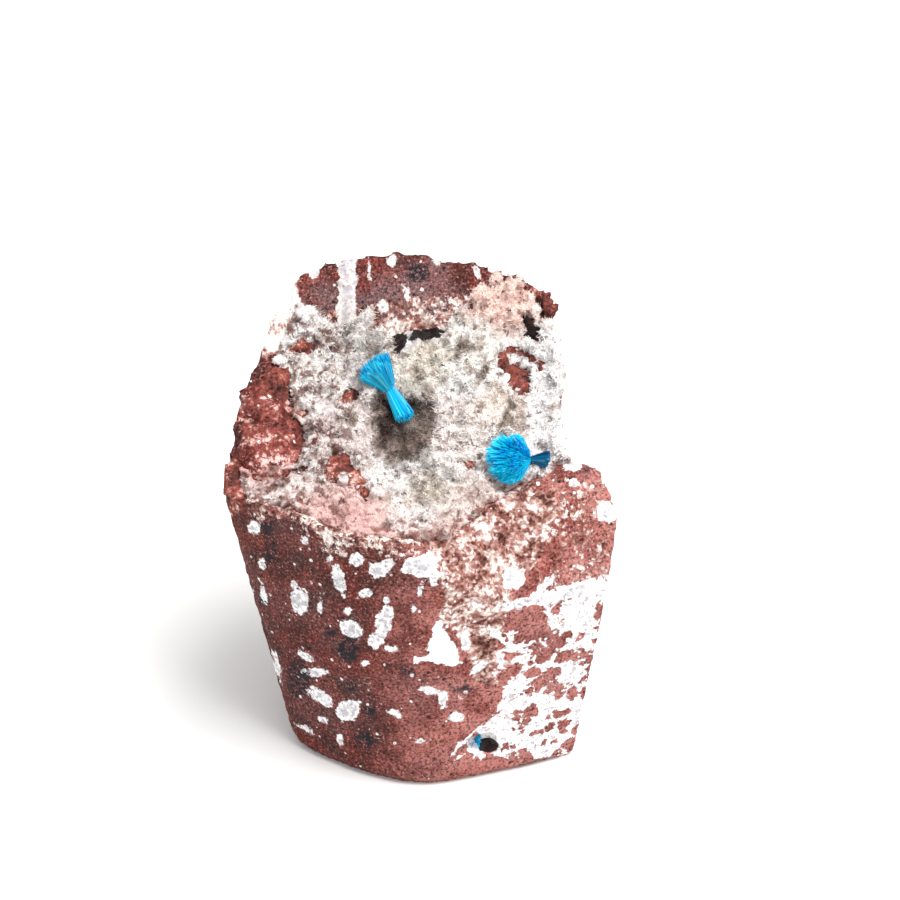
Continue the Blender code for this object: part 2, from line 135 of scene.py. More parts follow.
def lumps(points, size, shift=0.0):
    """A smooth random number from -1 to 1 at each point, in lumps of that size."""
    return np.array([noise.noise(Vector(point)) for point in points / size + shift])


def crumbs(points, size, shift=0.0):
    """Lumps with smaller lumps on them, four sizes deep."""
    total = np.zeros(len(points))
    for octave in range(4):
        total += lumps(points, size / 2 ** octave, shift + octave * 7.3) * 0.6 ** octave
    return total


def triangles(piece):
    """How many triangles a piece has."""
    piece.data.calc_loop_triangles()
    return len(piece.data.loop_triangles)


def store(piece, name, values):
    """Keep one number at each vertex, for the piece's material to read."""
    layer = piece.data.attributes.new(name, "FLOAT", "POINT")
    layer.data.foreach_set("value", np.asarray(values, dtype=np.float32))


def store_colour(piece, name, colours):
    """Keep one colour at each vertex."""
    full = np.ones((len(colours), 4), dtype=np.float32)
    full[:, :3] = colours
    layer = piece.data.attributes.new(name, "FLOAT_COLOR", "POINT")
    layer.data.foreach_set("color", full.ravel())


def only(piece):
    """Make a piece the one selected and active object, as an operator expects."""
    bpy.ops.object.select_all(action="DESELECT")
    piece.select_set(True)
    bpy.context.view_layer.objects.active = piece


def edit_all(piece, operator, **settings):
    """Run an edit mode operator on the whole of a piece."""
    only(piece)
    bpy.ops.object.mode_set(mode="EDIT")
    bpy.ops.mesh.select_all(action="SELECT")
    operator(**settings)
    bpy.ops.object.mode_set(mode="OBJECT")


def fine_copy(node, name, voxel, rounds):
    """A copy of a solid in even squares that many millimetres wide, with its facets smoothed away."""
    piece = bpy.data.objects.new(name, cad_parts[node].data.copy())
    bpy.context.scene.collection.objects.link(piece)
    edit_all(piece, bpy.ops.mesh.remove_doubles, threshold=1e-6)
    remesh = piece.modifiers.new("even_grain", "REMESH")
    remesh.mode = "VOXEL"
    remesh.voxel_size = voxel * MM
    bpy.ops.object.modifier_apply(modifier=remesh.name)
    piece.data.materials.clear()
    edit_all(piece, bpy.ops.mesh.vertices_smooth, factor=0.5, repeat=rounds)
    return piece


# %% [markdown]
# ## Shapes measured in the photograph
#
# Each white amygdale, bare patch and stain is an oval or a loop of corners, in the photograph's pixels.
# What a material needs is not a yes or no at each vertex, but the distance to the shape's edge: negative
# inside, positive outside. Such a distance stays smooth between the vertices, so the shader can cut a sharp
# edge.

# %% Ovals and loops


def oval(spots, x, y, wide, high, turn=0.0):
    """Distance to the edge of an oval in millimetres, negative inside it. Turn is in degrees."""
    away = spots - np.array((x, y))
    angle = math.radians(turn)
    across = away[:, 0] * math.cos(angle) - away[:, 1] * math.sin(angle)
    down = away[:, 0] * math.sin(angle) + away[:, 1] * math.cos(angle)
    return (np.hypot(across / wide, down / high) - 1.0) * min(wide, high) * PIXEL


def loop(spots, corners):
    """Distance to the edge of a closed loop of corners in millimetres, negative inside it."""
    nearest = np.full(len(spots), 1e9)
    inside = np.zeros(len(spots), bool)
    for start, end in zip(corners, corners[1:] + corners[:1]):
        start, end = np.array(start, float), np.array(end, float)
        run = end - start
        share = np.clip(((spots - start) @ run) / (run @ run), 0.0, 1.0)
        nearest = np.minimum(nearest, np.linalg.norm(spots - start - share[:, None] * run, axis=1))
        crosses = (start[1] > spots[:, 1]) != (end[1] > spots[:, 1])
        slope = run[0] / run[1] if run[1] else 0.0
        inside ^= crosses & (spots[:, 0] < start[0] + (spots[:, 1] - start[1]) * slope)
    return np.where(inside, -nearest, nearest) * PIXEL


def ovals(spots, shapes):
    """Distance to the nearest of many ovals."""
    return np.min([oval(spots, *shape) for shape in shapes], axis=0)


def loops(spots, shapes):
    """Distance to the nearest of many loops."""
    return np.min([loop(spots, corners) for corners in shapes], axis=0)


def ragged(spots, points, size, amount):
    """Shift the picture's spots a little, so that a shape drawn with few corners gets a natural edge."""
    shift = np.stack([lumps(points, size, 3.1), lumps(points, size, 11.7)], axis=1)
    small = np.stack([lumps(points, size / 2.7, 5.3), lumps(points, size / 2.7, 17.9)], axis=1)
    return spots + (shift + 0.5 * small) * amount / PIXEL


# How an edge is broken up: the size of its breaks and how far they reach, in millimetres
PATCH_EDGE = (0.9, 0.6)
RIM_EDGE = (1.2, 0.3)
# Bare stone that shows through the druse, as loops of corners in the photograph
BARE_PATCHES = {
    "left facet, upper": [(286, 343), (300, 340), (315, 342), (312, 355), (300, 353), (287, 356)],
    "left facet, speck": [(297, 318), (306, 320), (305, 332), (297, 330)],
    "left facet, band": [(267, 369), (280, 366), (294, 362), (291, 380), (284, 398), (272, 396), (266, 384)],
    "coral, upper": [(249, 392), (262, 384), (272, 392), (280, 408), (276, 424), (262, 426), (248, 418)],
    "coral, lower": [(240, 424), (262, 426), (280, 416), (294, 430), (302, 450), (300, 470), (284, 480),
                     (262, 484), (245, 478), (238, 452)],
    "left corner": [(224, 462), (236, 462), (244, 478), (246, 508), (232, 514), (222, 500)],
    "left, small": [(290, 410), (311, 408), (309, 418), (298, 422)],
    "left, brown": [(303, 429), (320, 427), (321, 440), (314, 452), (304, 446)],
    "left, rust": [(296, 458), (309, 456), (310, 470), (301, 476)],
    "middle, pink": [(333, 398), (350, 388), (362, 390), (362, 402), (348, 407), (336, 405)],
    "middle, red": [(321, 470), (330, 456), (345, 449), (354, 460), (362, 474), (377, 498), (366, 503),
                    (350, 490), (334, 487), (323, 481)],
    "ring, left": [(494, 366), (497, 354), (505, 346), (518, 343), (529, 352), (527, 361), (520, 359),
                   (513, 353), (506, 358), (511, 363), (520, 360), (527, 368), (521, 376), (510, 380),
                   (499, 373)],
    "ring, right": [(527, 353), (539, 353), (550, 365), (545, 376), (536, 373), (534, 366), (527, 362)],
    "ring, stem": [(507, 374), (521, 367), (533, 373), (531, 391), (519, 400), (509, 391)],
    "purple": [(517, 317), (524, 313), (532, 315), (541, 330), (537, 345), (530, 342), (524, 337),
               (524, 326)],
    "upper right": [(532, 288), (546, 294), (558, 306), (559, 318), (548, 316), (538, 302)],
    "speck by the rosette": [(462, 461), (475, 460), (473, 473), (465, 472)],
    "speck in the middle": [(450, 434), (462, 433), (463, 441), (452, 440)],
}
# The rough strip down the front, where grains were plucked out of the sawn face
PLUCKED_FRONT = [(405, 520), (470, 488), (530, 480), (616, 480), (618, 540), (560, 570), (515, 590),
                 (500, 640), (496, 690), (474, 680), (462, 640), (440, 616), (432, 580)]
# The open crack between the druse and the back wall, as ovals
CRACK = [(397, 342, 8, 8), (427, 334, 14, 4, 8)]
# The front rim of the druse, closed by a way round far outside the other rims, and then its side rims
FRONT_RIM = [(236, 505), (246, 514), (256, 509), (270, 511), (287, 506), (298, 517), (312, 531), (327, 541),
             (345, 544), (358, 547), (372, 542), (384, 548), (400, 540), (428, 545), (455, 538), (470, 528),
             (492, 510), (520, 492), (560, 476), (640, 470), (640, 200), (180, 200), (180, 505)]
SIDE_RIMS = [(200, 600), (230, 475), (238, 440), (250, 398), (262, 365), (272, 335), (283, 300), (292, 285),
             (300, 240), (520, 240), (540, 285), (556, 300), (564, 330), (570, 365), (568, 400), (572, 440),
             (578, 466), (620, 600)]
print(len(BARE_PATCHES), "bare patches in the druse")

# %% [markdown]
# ## The block of stone
#
# The real block has two kinds of skin: the sawn front is flat and only pitted, and everything else is
# broken and crumbly. A remesh gives an even net of small squares, smoothing takes the facets off, and the
# crumbs go on where the stone is broken. Where the druse has a bare patch, and along its front rim, the
# stone is raised to meet it.

# %% Stone
STONE_VOXEL = 0.315
STONE_SMOOTHING = 4
RAISED_PATCH = 1.0
RAISED_LIP = 0.8
CRUMB_SIZE = 1.3
BROKEN_CRUMB = 0.26
SIDE_CRUMB = 0.11
SAWN_CRUMB = 0.025
PLUCKED_CRUMB = 0.28
RIGHT_RIM_CRUMB = 0.35
LEFT_BULGE = 0.7
FOOT_LEVEL = 0.2
# Ranges of pixels in the photograph, from where an effect starts to where it is full
RIGHT_RIM = (552.0, 562.0)
ABOVE_RIGHT_FRONT = (475.0, 455.0)
LEFT_SIDE = (300.0, 275.0)
BELOW_LEFT_TOP = (275.0, 320.0)
ABOVE_LEFT_CORNER = (450.0, 400.0)

stone = fine_copy("matrix_rock", "basalt_block", STONE_VOXEL, STONE_SMOOTHING)
points, normals = read_vertices(stone)
spots = to_photo(points)
edged = ragged(spots, points, *PATCH_EDGE)

patch = loops(edged, BARE_PATCHES.values())
upward = smooth(0.15, 0.45, normals[:, 2])
sawn = smooth(0.62, 0.8, -normals[:, 1]) * (1.0 - upward)
plucked = smooth(1.0, -1.0, loop(edged, PLUCKED_FRONT)) * sawn
depth = SIDE_CRUMB + (BROKEN_CRUMB - SIDE_CRUMB) * upward + (SAWN_CRUMB - SIDE_CRUMB) * sawn
depth += (PLUCKED_CRUMB - SAWN_CRUMB) * plucked
depth += RIGHT_RIM_CRUMB * smooth(*RIGHT_RIM, spots[:, 0]) * smooth(*ABOVE_RIGHT_FRONT, spots[:, 1])
height = depth * crumbs(points, CRUMB_SIZE) - 0.3 * depth
height += RAISED_PATCH * smooth(0.35, -0.7, patch) * upward
moved = points + normals * height[:, None]
toward_camera = CAMERA_SPOT / np.linalg.norm(CAMERA_SPOT)
rim = loop(ragged(spots, points, *RIM_EDGE), FRONT_RIM)
lip = smooth(-2.2, -0.5, rim) * smooth(1.0, 0.2, rim) * smooth(0.0, 0.25, normals @ toward_camera)
moved[:, 2] += RAISED_LIP * lip
left_edge = smooth(*LEFT_SIDE, spots[:, 0]) * smooth(*BELOW_LEFT_TOP, spots[:, 1])
left_edge *= smooth(*ABOVE_LEFT_CORNER, spots[:, 1]) * smooth(0.3, -0.3, normals[:, 0])
moved[:, 0] -= LEFT_BULGE * left_edge
flat_foot = points[:, 2] < FOOT_LEVEL
moved[flat_foot, 2] = 0.0
write_points(stone, moved)
print("stone:", triangles(stone), "triangles")

# %% [markdown]
# ## The crust under the blades
#
# The druse grew from the wall of the hollow as one milky crust, and its blades stand on that. The crust
# starts from its own solid in the same way. Smoothing melts the solid's large blades into the lumps of the
# real crust, and under a bare patch the crust sinks below the stone. Under each blue cluster it swells into
# a seat. Towards its rims it gets thin, and at the right it is broken off.

# %% Crust
CRUST_VOXEL = 0.21
CRUST_SMOOTHING = 14
LUMP_SIZE = 1.5
LUMP_HEIGHT = 0.5
GRAIN_SIZE = 0.45
GRAIN_HEIGHT = 0.08
SUNK_PATCH = 0.9
SUNK_RIM = 1.1
THIN_RIM = 0.6
RIM_BREAK = 0.55
BREAK_SIZE = 1.1
BROKEN_SIDE = (545.0, 555.0)
RIM_RANGE = (-1.0, 0.1)
SEAT = 1.7
SEAT_RANGE = (3.4, 1.6)
BOWTIE_WAIST = (-3.76, 5.63, 40.78)
ROSETTE_WAIST = (12.1, -5.15, 37.8)
ROSETTE_MIDDLE = (9.8, -5.0, 37.4)


def bare_share(points, inside, outside):
    """One in a bare patch of the druse or in its open crack, zero outside them."""
    edged = ragged(to_photo(points), points, *PATCH_EDGE)
    return smooth(outside, inside, np.minimum(loops(edged, BARE_PATCHES.values()), ovals(edged, CRACK)))


crust = fine_copy("crystal_crust", "zeolite_crust", CRUST_VOXEL, CRUST_SMOOTHING)
points, normals = read_vertices(crust)
upward = smooth(-0.5, 0.0, normals[:, 2])
height = LUMP_HEIGHT * crumbs(points, LUMP_SIZE, 40.0) * upward
height += GRAIN_HEIGHT * crumbs(points, GRAIN_SIZE, 55.0) * upward
height -= SUNK_PATCH * bare_share(points, -0.3, 0.3) * upward
away = [np.linalg.norm(points - np.array(middle), axis=1)
        for middle in (BOWTIE_WAIST, ROSETTE_WAIST, ROSETTE_MIDDLE)]
height += SEAT * smooth(*SEAT_RANGE, np.min(away, axis=0)) * upward
spots = ragged(to_photo(points), points, *RIM_EDGE)
broken_side = smooth(0.8, 0.4, np.abs(normals[:, 2])) * smooth(*BROKEN_SIDE, spots[:, 0])
height += RIM_BREAK * crumbs(points, BREAK_SIZE, 60.0) * broken_side
height -= THIN_RIM * smooth(*RIM_RANGE, loop(spots, SIDE_RIMS))
moved = points + normals * height[:, None]
moved[:, 1:] += np.outer(smooth(*RIM_RANGE, loop(spots, FRONT_RIM)), (SUNK_RIM, -SUNK_RIM))
write_points(crust, moved)
print("crust:", triangles(crust), "triangles")

# %% [markdown]
# ## The colours of the druse
#
# Zeolite is colourless, but it takes the colour of what it grew on and of the iron in it: snow white where
# the blades are fine and dense, peach and pink near the red stone. The grey and brown deep in the hollow,
# in its creases and in the gaps between lumps is painted shade, over the crystals' own grey-brown. Each
# zone is a soft spot in the photograph with its own colour, and the colour between zones is their blend.

# %% Druse colours


def linear(code):
    """A hex colour as the eye sees it, turned into the linear numbers that the renderer counts with."""
    shares = [int(code[place:place + 2], 16) / 255.0 for place in (1, 3, 5)]
    return tuple(s / 12.92 if s <= 0.04045 else ((s + 0.055) / 1.055) ** 2.4 for s in shares)


# Name: centre and radii in the photograph, colour, and length of the blades there in millimetres
DRUSE_ZONES = {
    "white facet": (272, 320, 24, 34, "#f1eeed", 0.5),
    "grey glassy": (362, 338, 26, 20, "#e9e4df", 1.0),
    "beige dome": (425, 358, 27, 20, "#f7eee2", 1.0),
    "snowy dome": (460, 380, 14, 14, "#fffefb", 0.8),
    "pale above the dome": (470, 348, 22, 20, "#f6f2ec", 0.9),
    "peach": (505, 300, 28, 22, "#ffdcd1", 0.7),
    "right, white": (545, 400, 24, 50, "#fffcfb", 0.8),
    "hollow, front": (420, 490, 14, 14, "#cbbfb0", 1.0),
    "pale pink middle": (470, 430, 34, 24, "#fff3ee", 0.9),
    "beige right": (508, 408, 24, 16, "#f7ebe0", 0.9),
    "snowy front": (398, 480, 24, 14, "#fffdfb", 0.7),
    "snowy lip": (408, 514, 22, 12, "#fffaf6", 0.7),
    "fibrous pink": (345, 520, 42, 22, "#eec2bc", 0.4),
    "left band": (272, 495, 26, 13, "#f6eae7", 0.4),
    "coral": (262, 430, 20, 40, "#e3a096", 0.4),
    "left middle": (325, 375, 34, 20, "#efe8e4", 0.7),
    "left low": (345, 430, 26, 24, "#efe3df", 0.7),
    "rough lip": (445, 545, 32, 20, "#dcc4bd", 0.4),
    "under the rosette": (500, 505, 34, 18, "#f0e0d8", 0.6),
}
# Shaded places in the druse, as loops or ovals laid over the zones
HOLLOW = [(374, 392), (392, 388), (412, 392), (432, 396), (440, 410), (436, 428), (428, 446), (416, 460),
          (402, 468), (388, 464), (377, 452), (370, 430), (371, 408)]
HOLLOW_WALL = [(377, 390), (386, 392), (392, 404), (396, 420), (392, 440), (386, 452), (379, 446), (376, 425),
               (378, 405)]
HOLLOW_CORNER = [(404, 396), (420, 392), (432, 400), (434, 412), (424, 416), (412, 408)]
CREASES = [(461, 349, 11, 4, 40), (481, 373, 4, 13, -30), (507, 416, 4, 13, -10), (352, 418, 3, 6),
           (412, 341, 26, 4)]
# Where no zone reaches: its weight in the blend, its colour and its blades' length
PLAIN_DRUSE = (0.04, "#fbf6f3", 0.8)
# Painted shade in the gaps between the crust's lumps, in the crystals' warm grey-brown
GAP_SHADE = "#a28a7d"
GAP_SHARE = 0.6
GAP_SIZE = 1.5
LEFT_GAP_SIZE = 1.3
RUST_SIZE = 0.9
SPECK_SIZE = 0.75
LEFT_OF_HOLLOW = (375.0, 335.0)
ZONE_EDGE = (2.0, 0.8)
ZONE_FALL = 1.2


def druse_look(points):
    """The colour and the length of the blades at each point: its zones' blend with lumps and specks, and
    painted shade.
    """
    spots = ragged(to_photo(points), points, *ZONE_EDGE)
    weight, colour, length = PLAIN_DRUSE
    total = np.full(len(spots), weight)
    blend = np.outer(total, linear(colour))
    lengths = total * length
    for x, y, wide, high, colour, length in DRUSE_ZONES.values():
        away = (spots - np.array((x, y))) / np.array((wide, high))
        share = np.exp(-(away ** 2).sum(axis=1) * ZONE_FALL)
        total += share
        blend += np.outer(share, linear(colour))
        lengths += share * length
    blend /= total[:, None]
    # Painted shade: the gaps between lumps are darkened towards the gap colour
    gaps = smooth(0.08, 0.6, crumbs(points, GAP_SIZE, 70.0))[:, None] * GAP_SHARE
    blend = blend * (1.0 - gaps) + blend * np.array(linear(GAP_SHADE)) * gaps
    left_gaps = smooth(*LEFT_OF_HOLLOW, spots[:, 0]) * smooth(0.05, 0.4, crumbs(points, LEFT_GAP_SIZE, 140.0))
    rusty_rim = smooth(-4.0, -0.8, loop(spots, FRONT_RIM))
    rusty_rim *= smooth(0.0, 0.35, crumbs(points, RUST_SIZE, 120.0))
    for share, code in ((0.88 * left_gaps, "#74483e"),
                        (0.85 * rusty_rim, "#8f5046"),
                        # Painted shade in the hollow, on its wall, in its corner and in the creases
                        (0.85 * smooth(0.7, -0.9, loop(spots, HOLLOW)), "#806a5d"),
                        (0.88 * smooth(0.4, -0.5, loop(spots, HOLLOW_WALL)), "#352520"),
                        (0.7 * smooth(0.4, -0.5, loop(spots, HOLLOW_CORNER)), "#4b3c34"),
                        (0.8 * smooth(0.4, -0.2, ovals(spots, CREASES)), "#7d6857"),
                        (0.85 * smooth(0.5, 0.68, crumbs(points, SPECK_SIZE, 30.0)), "#5a3f36")):
        blend = blend * (1.0 - share[:, None]) + np.outer(share, linear(code))
    return blend, lengths / total


# The crust takes these colours, painted shade included
crust_colour = druse_look(read_vertices(crust)[0])[0]
store_colour(crust, "tint", crust_colour)
print("crust colours from", crust_colour.min(axis=0).round(2), "to", crust_colour.max(axis=0).round(2))

# %% [markdown]
# ## Modelling one blade
#
# A zeolite blade is a thin lath with a chisel tip. It starts as a cube, its top is drawn to an edge, and
# the doubled vertices of that edge are merged. Eight triangles are enough, because it is repeated thousands
# of times. Its foot is at the origin and it points along +Z, with length, width and thickness of one.

# %% Blade
BLADE_TIP = 0.45


def select_top(piece):
    """Select the faces that look up, in edit mode."""
    bpy.ops.mesh.select_all(action="DESELECT")
    bpy.ops.object.mode_set(mode="OBJECT")
    highest = max(vertex.co.z for vertex in piece.data.vertices)
    for face in piece.data.polygons:
        face.select = face.normal.z > 0.9 and face.center.z > highest - 1e-4
    bpy.ops.object.mode_set(mode="EDIT")


def make_blade():
    """A cube with its foot at the origin and its top drawn to an edge, left in edit mode."""
    bpy.ops.object.select_all(action="DESELECT")
    bpy.ops.mesh.primitive_cube_add(size=1.0, location=(0.0, 0.0, 0.5))
    piece = bpy.context.object
    bpy.ops.object.transform_apply(location=True, rotation=True, scale=True)
    bpy.ops.object.mode_set(mode="EDIT")
    select_top(piece)
    bpy.ops.transform.resize(value=(BLADE_TIP, 0.0, 1.0), center_override=(0.0, 0.0, 1.0))
    return piece


def take_pattern(piece):
    """The vertices and triangles of a piece that is in edit mode, and that is then removed."""
    bpy.ops.mesh.select_all(action="SELECT")
    bpy.ops.mesh.remove_doubles(threshold=1e-4)
    bpy.ops.mesh.quads_convert_to_tris()
    bpy.ops.mesh.normals_make_consistent(inside=False)
    bpy.ops.object.mode_set(mode="OBJECT")
    corners = np.array([vertex.co[:] for vertex in piece.data.vertices])
    faces = np.array([face.vertices[:] for face in piece.data.polygons])
    bpy.data.objects.remove(piece, do_unlink=True)
    return corners, faces


blade_pattern = take_pattern(make_blade())
print("one blade:", len(blade_pattern[1]), "triangles")

# %% [markdown]
# ## Planting copies
#
# Each copy needs a foot, a direction, a turn about it, a size and a colour. Copying an object sixty
# thousand times would take minutes, so the copies are written straight into a mesh, and they are real
# geometry all the same.

# %% Plant copies


def frames_along(directions, turns):
    """Three axes for each copy: its width, its thickness and its length, as columns of a matrix."""
    steep = np.abs(directions[:, 2:]) >= 0.9
    helper = np.where(steep, np.array([[1.0, 0.0, 0.0]]), np.array([[0.0, 0.0, 1.0]]))
    side = np.cross(helper, directions)
    side /= np.linalg.norm(side, axis=1)[:, None]
    other = np.cross(directions, side)
    wide = side * np.cos(turns)[:, None] + other * np.sin(turns)[:, None]
    thick = np.cross(directions, wide)
    return np.stack([wide, thick, directions], axis=2)


def plant(name, pattern, feet, directions, turns, sizes, colours):
    """One mesh with a copy of the pattern at each foot, its colour kept at its vertices."""
    corners, faces = pattern
    axes = frames_along(directions, turns)
    scaled = corners[None, :, :] * sizes[:, None, :]
    placed = np.einsum("nij,nkj->nki", axes, scaled) + feet[:, None, :]
    shifts = np.arange(len(feet))[:, None, None] * len(corners)
    mesh = bpy.data.meshes.new(name)
    mesh.from_pydata((placed.reshape(-1, 3)).tolist(), [], (faces[None] + shifts).reshape(-1, 3).tolist())
    piece = bpy.data.objects.new(name, mesh)
    bpy.context.scene.collection.objects.link(piece)
    write_points(piece, placed.reshape(-1, 3))
    store_colour(piece, "tint", np.repeat(colours, len(corners), axis=0))
    return piece


# %% [markdown]
# ## Where the blades stand
#
# Feet are drawn at random over the crust's upper side and its edges, and none in a bare patch. Blades of a
# druse fan out from seed points, in tufts, so each blade leans away from the middle of its tuft. Some of
# them are long and narrow, and the others are short and broad and fill the gaps.

# %% Blades
BLADES = 60000
TUFT = 1.3
LONG_SHARE = 0.3
LONG_WIDTH = 0.075
SHORT_WIDTH = 0.17
SHORT_LENGTH = 0.45
BLADE_FLAT = 0.55
# The smallest and the largest share of its size that chance gives to a blade
BLADE_LENGTHS = (0.5, 1.1)
BLADE_WIDTHS = (0.6, 1.4)
TUFT_LEAN = 1.5
LONG_SCATTER = 0.28
SHORT_SCATTER = 0.6
FOOT_DEPTH = 0.12
BRIGHTNESS = (0.72, 1.18)
BRIGHTEST = 0.97
PIECE_LIMIT = 23000
draw = np.random.default_rng(7)


def surface_feet(piece, count, allow):
    """Random feet on a piece's faces, spread by area times allow, with the normal at each."""
    mesh = piece.data
    mesh.calc_loop_triangles()
    corners = np.empty(len(mesh.loop_triangles) * 3, dtype=np.int32)
    mesh.loop_triangles.foreach_get("vertices", corners)
    corners = corners.reshape(-1, 3)
    points, normals = read_vertices(piece)
    a, b, c = (points[corners[:, i]] for i in range(3))
    area = np.linalg.norm(np.cross(b - a, c - a), axis=1) / 2.0
    chance = area * allow((a + b + c) / 3.0, normals[corners].mean(axis=1))
    picked = draw.choice(len(corners), size=count, p=chance / chance.sum())
    u, v = np.sqrt(draw.random(count)), draw.random(count)
    weights = np.stack([1.0 - u, u * (1.0 - v), u * v], axis=1)
    feet = np.einsum("nk,nkj->nj", weights, points[corners[picked]])
    facing = np.einsum("nk,nkj->nj", weights, normals[corners[picked]])
    return feet, facing / np.linalg.norm(facing, axis=1)[:, None]


def allow_blades(points, normals):
    """One where the druse is open to the air, zero on its underside and in the bare patches."""
    return smooth(-0.8, -0.3, normals[:, 2]) * (1.0 - bare_share(points, -0.4, 0.0))


def tuft_lean(points):
    """How far each point is from the middle of its tuft, as a share of the tuft's size."""
    middles = np.array([noise.voronoi(Vector(point))[1][0][:] for point in points / TUFT])
    return points / TUFT - middles


feet, facing = surface_feet(crust, BLADES, allow_blades)
# The blades take the druse's colours, painted shade included
colours, lengths = druse_look(feet)
is_long = draw.random(BLADES) < LONG_SHARE * lengths
scatter = np.where(is_long, LONG_SCATTER, SHORT_SCATTER)[:, None]
lean = facing + tuft_lean(feet) * TUFT_LEAN + draw.normal(0.0, 1.0, (BLADES, 3)) * scatter
lean /= np.linalg.norm(lean, axis=1)[:, None]
length = lengths * draw.uniform(*BLADE_LENGTHS, BLADES) * np.where(is_long, 1.0, SHORT_LENGTH)
width = np.where(is_long, LONG_WIDTH, SHORT_WIDTH) * draw.uniform(*BLADE_WIDTHS, BLADES)
sizes = np.stack([width, width * BLADE_FLAT, length], axis=1)
brightness = draw.uniform(*BRIGHTNESS, (BLADES, 1))
colours = np.clip(colours * brightness, 0.0, BRIGHTEST)
feet -= lean * FOOT_DEPTH
turns = draw.uniform(0.0, math.pi, BLADES)
order = np.argsort(to_photo(feet)[:, 0])
blades = []
for number, part in enumerate(np.array_split(order, math.ceil(BLADES / PIECE_LIMIT))):
    blades.append(plant(f"zeolite_blades_{number + 1}", blade_pattern, feet[part], lean[part], turns[part],
                        sizes[part], colours[part]))
print(BLADES, "blades in", len(blades), "pieces of", triangles(blades[0]), "triangles")

# %% [markdown]
# ## The cavansite
#
# Cavansite grows as sheaves of needles that share one point and spread into fans. A needle is a narrow
# prism, thin at the shared point and thicker at its outer end, with a short tip. Three sides are enough at
# this size. Its colour varies from needle to needle, from deep to bright blue, and a few needles carry a
# painted glint. The small fan of the rosette is painted darker, partly as shade.

# %% Needles
NEEDLE_FOOT = 0.35
NEEDLE_SHOULDER = 0.95
NEEDLE_TIP = (0.25, 0.55)


def make_needle():
    """A narrow prism with a thin foot and a short tip, left in edit mode."""
    bpy.ops.object.select_all(action="DESELECT")
    bpy.ops.mesh.primitive_cylinder_add(vertices=3, radius=0.5, depth=NEEDLE_SHOULDER,
                                        location=(0.0, 0.0, NEEDLE_SHOULDER / 2.0))
    piece = bpy.context.object
    bpy.ops.object.transform_apply(location=True, rotation=True, scale=True)
    for vertex in piece.data.vertices:
        if vertex.co.z < 0.1:
            vertex.co.xy *= NEEDLE_FOOT
    bpy.ops.object.mode_set(mode="EDIT")
    select_top(piece)
    bpy.ops.mesh.extrude_region_move(TRANSFORM_OT_translate={"value": (0.0, 0.0, 1.0 - NEEDLE_SHOULDER)})
    bpy.ops.transform.resize(value=(*NEEDLE_TIP, 1.0), center_override=(0.0, 0.0, 1.0))
    return piece


needle_pattern = take_pattern(make_needle())
BLUE = ("#0094ea", "#0eeaff")
BRIGHT_BLUE = ("#0c96dc", "#3ceaff")
# Partly painted shade: the small fan lies in shadow. Partly the tint of the clear crystals over it
SHADED_TEAL = ("#00486e", "#0680b0")
# Painted glint: a few needles are lightened towards this pale cyan, as highlights
GLINT = linear("#a6ecff")

# Each fan: the middle of its waist, its direction, half angle in degrees, reach, how round its end is,
# waist, how far needles stray in their bundle, needles, needle width, colours
BOWTIE_FANS = [
    (BOWTIE_WAIST, (-1.8, 0.6, 2.5), 16.0, 3.65, 0.2, 0.95, 0.09, 2700, 0.11, BRIGHT_BLUE),
    (BOWTIE_WAIST, (2.1, -2.8, -2.75), 4.0, 4.3, 0.0, 0.64, 0.03, 1300, 0.12, BLUE),
]
ROSETTE_FANS = [
    (ROSETTE_WAIST, (-4.2, -0.45, 0.75), 56.0, 5.1, 1.0, 0.5, 0.1, 5200, 0.11, BLUE),
    (ROSETTE_WAIST, (2.4, -0.3, -0.1), 20.0, 2.3, 0.0, 0.35, 0.07, 650, 0.11, SHADED_TEAL),
]
SPECK_FANS = [
    ((6.2, -14.15, 5.15), (0.0, -1.0, 0.2), 60.0, 0.95, 0.5, 0.1, 0.07, 120, 0.09, BLUE),
    ((6.2, -14.15, 5.15), (0.0, 1.0, -0.2), 40.0, 1.3, 0.0, 0.1, 0.07, 60, 0.09, BLUE),
]
BUNDLE = 70
BUNDLE_LENGTHS = (0.78, 1.06)
NEEDLE_LENGTHS = (0.86, 1.0)
NEEDLE_WIDTHS = (0.6, 1.3)
NEEDLE_FLAT = 0.6
GLINT_SHARE = 0.1
GLINT_STRENGTH = 0.7


def fan_directions(axis, half_angle, count):
    """Random directions inside a cone, evenly spread over its cap."""
    axis = np.array(axis) / np.linalg.norm(axis)
    rise = 1.0 - draw.random(count) * (1.0 - math.cos(math.radians(half_angle)))
    turn = draw.uniform(0.0, math.tau, count)
    out = np.sqrt(1.0 - rise ** 2)
    frame_of_axis = frames_along(axis[None, :], np.zeros(1))[0]
    local = np.stack([out * np.cos(turn), out * np.sin(turn), rise], axis=1)
    return local @ frame_of_axis.T


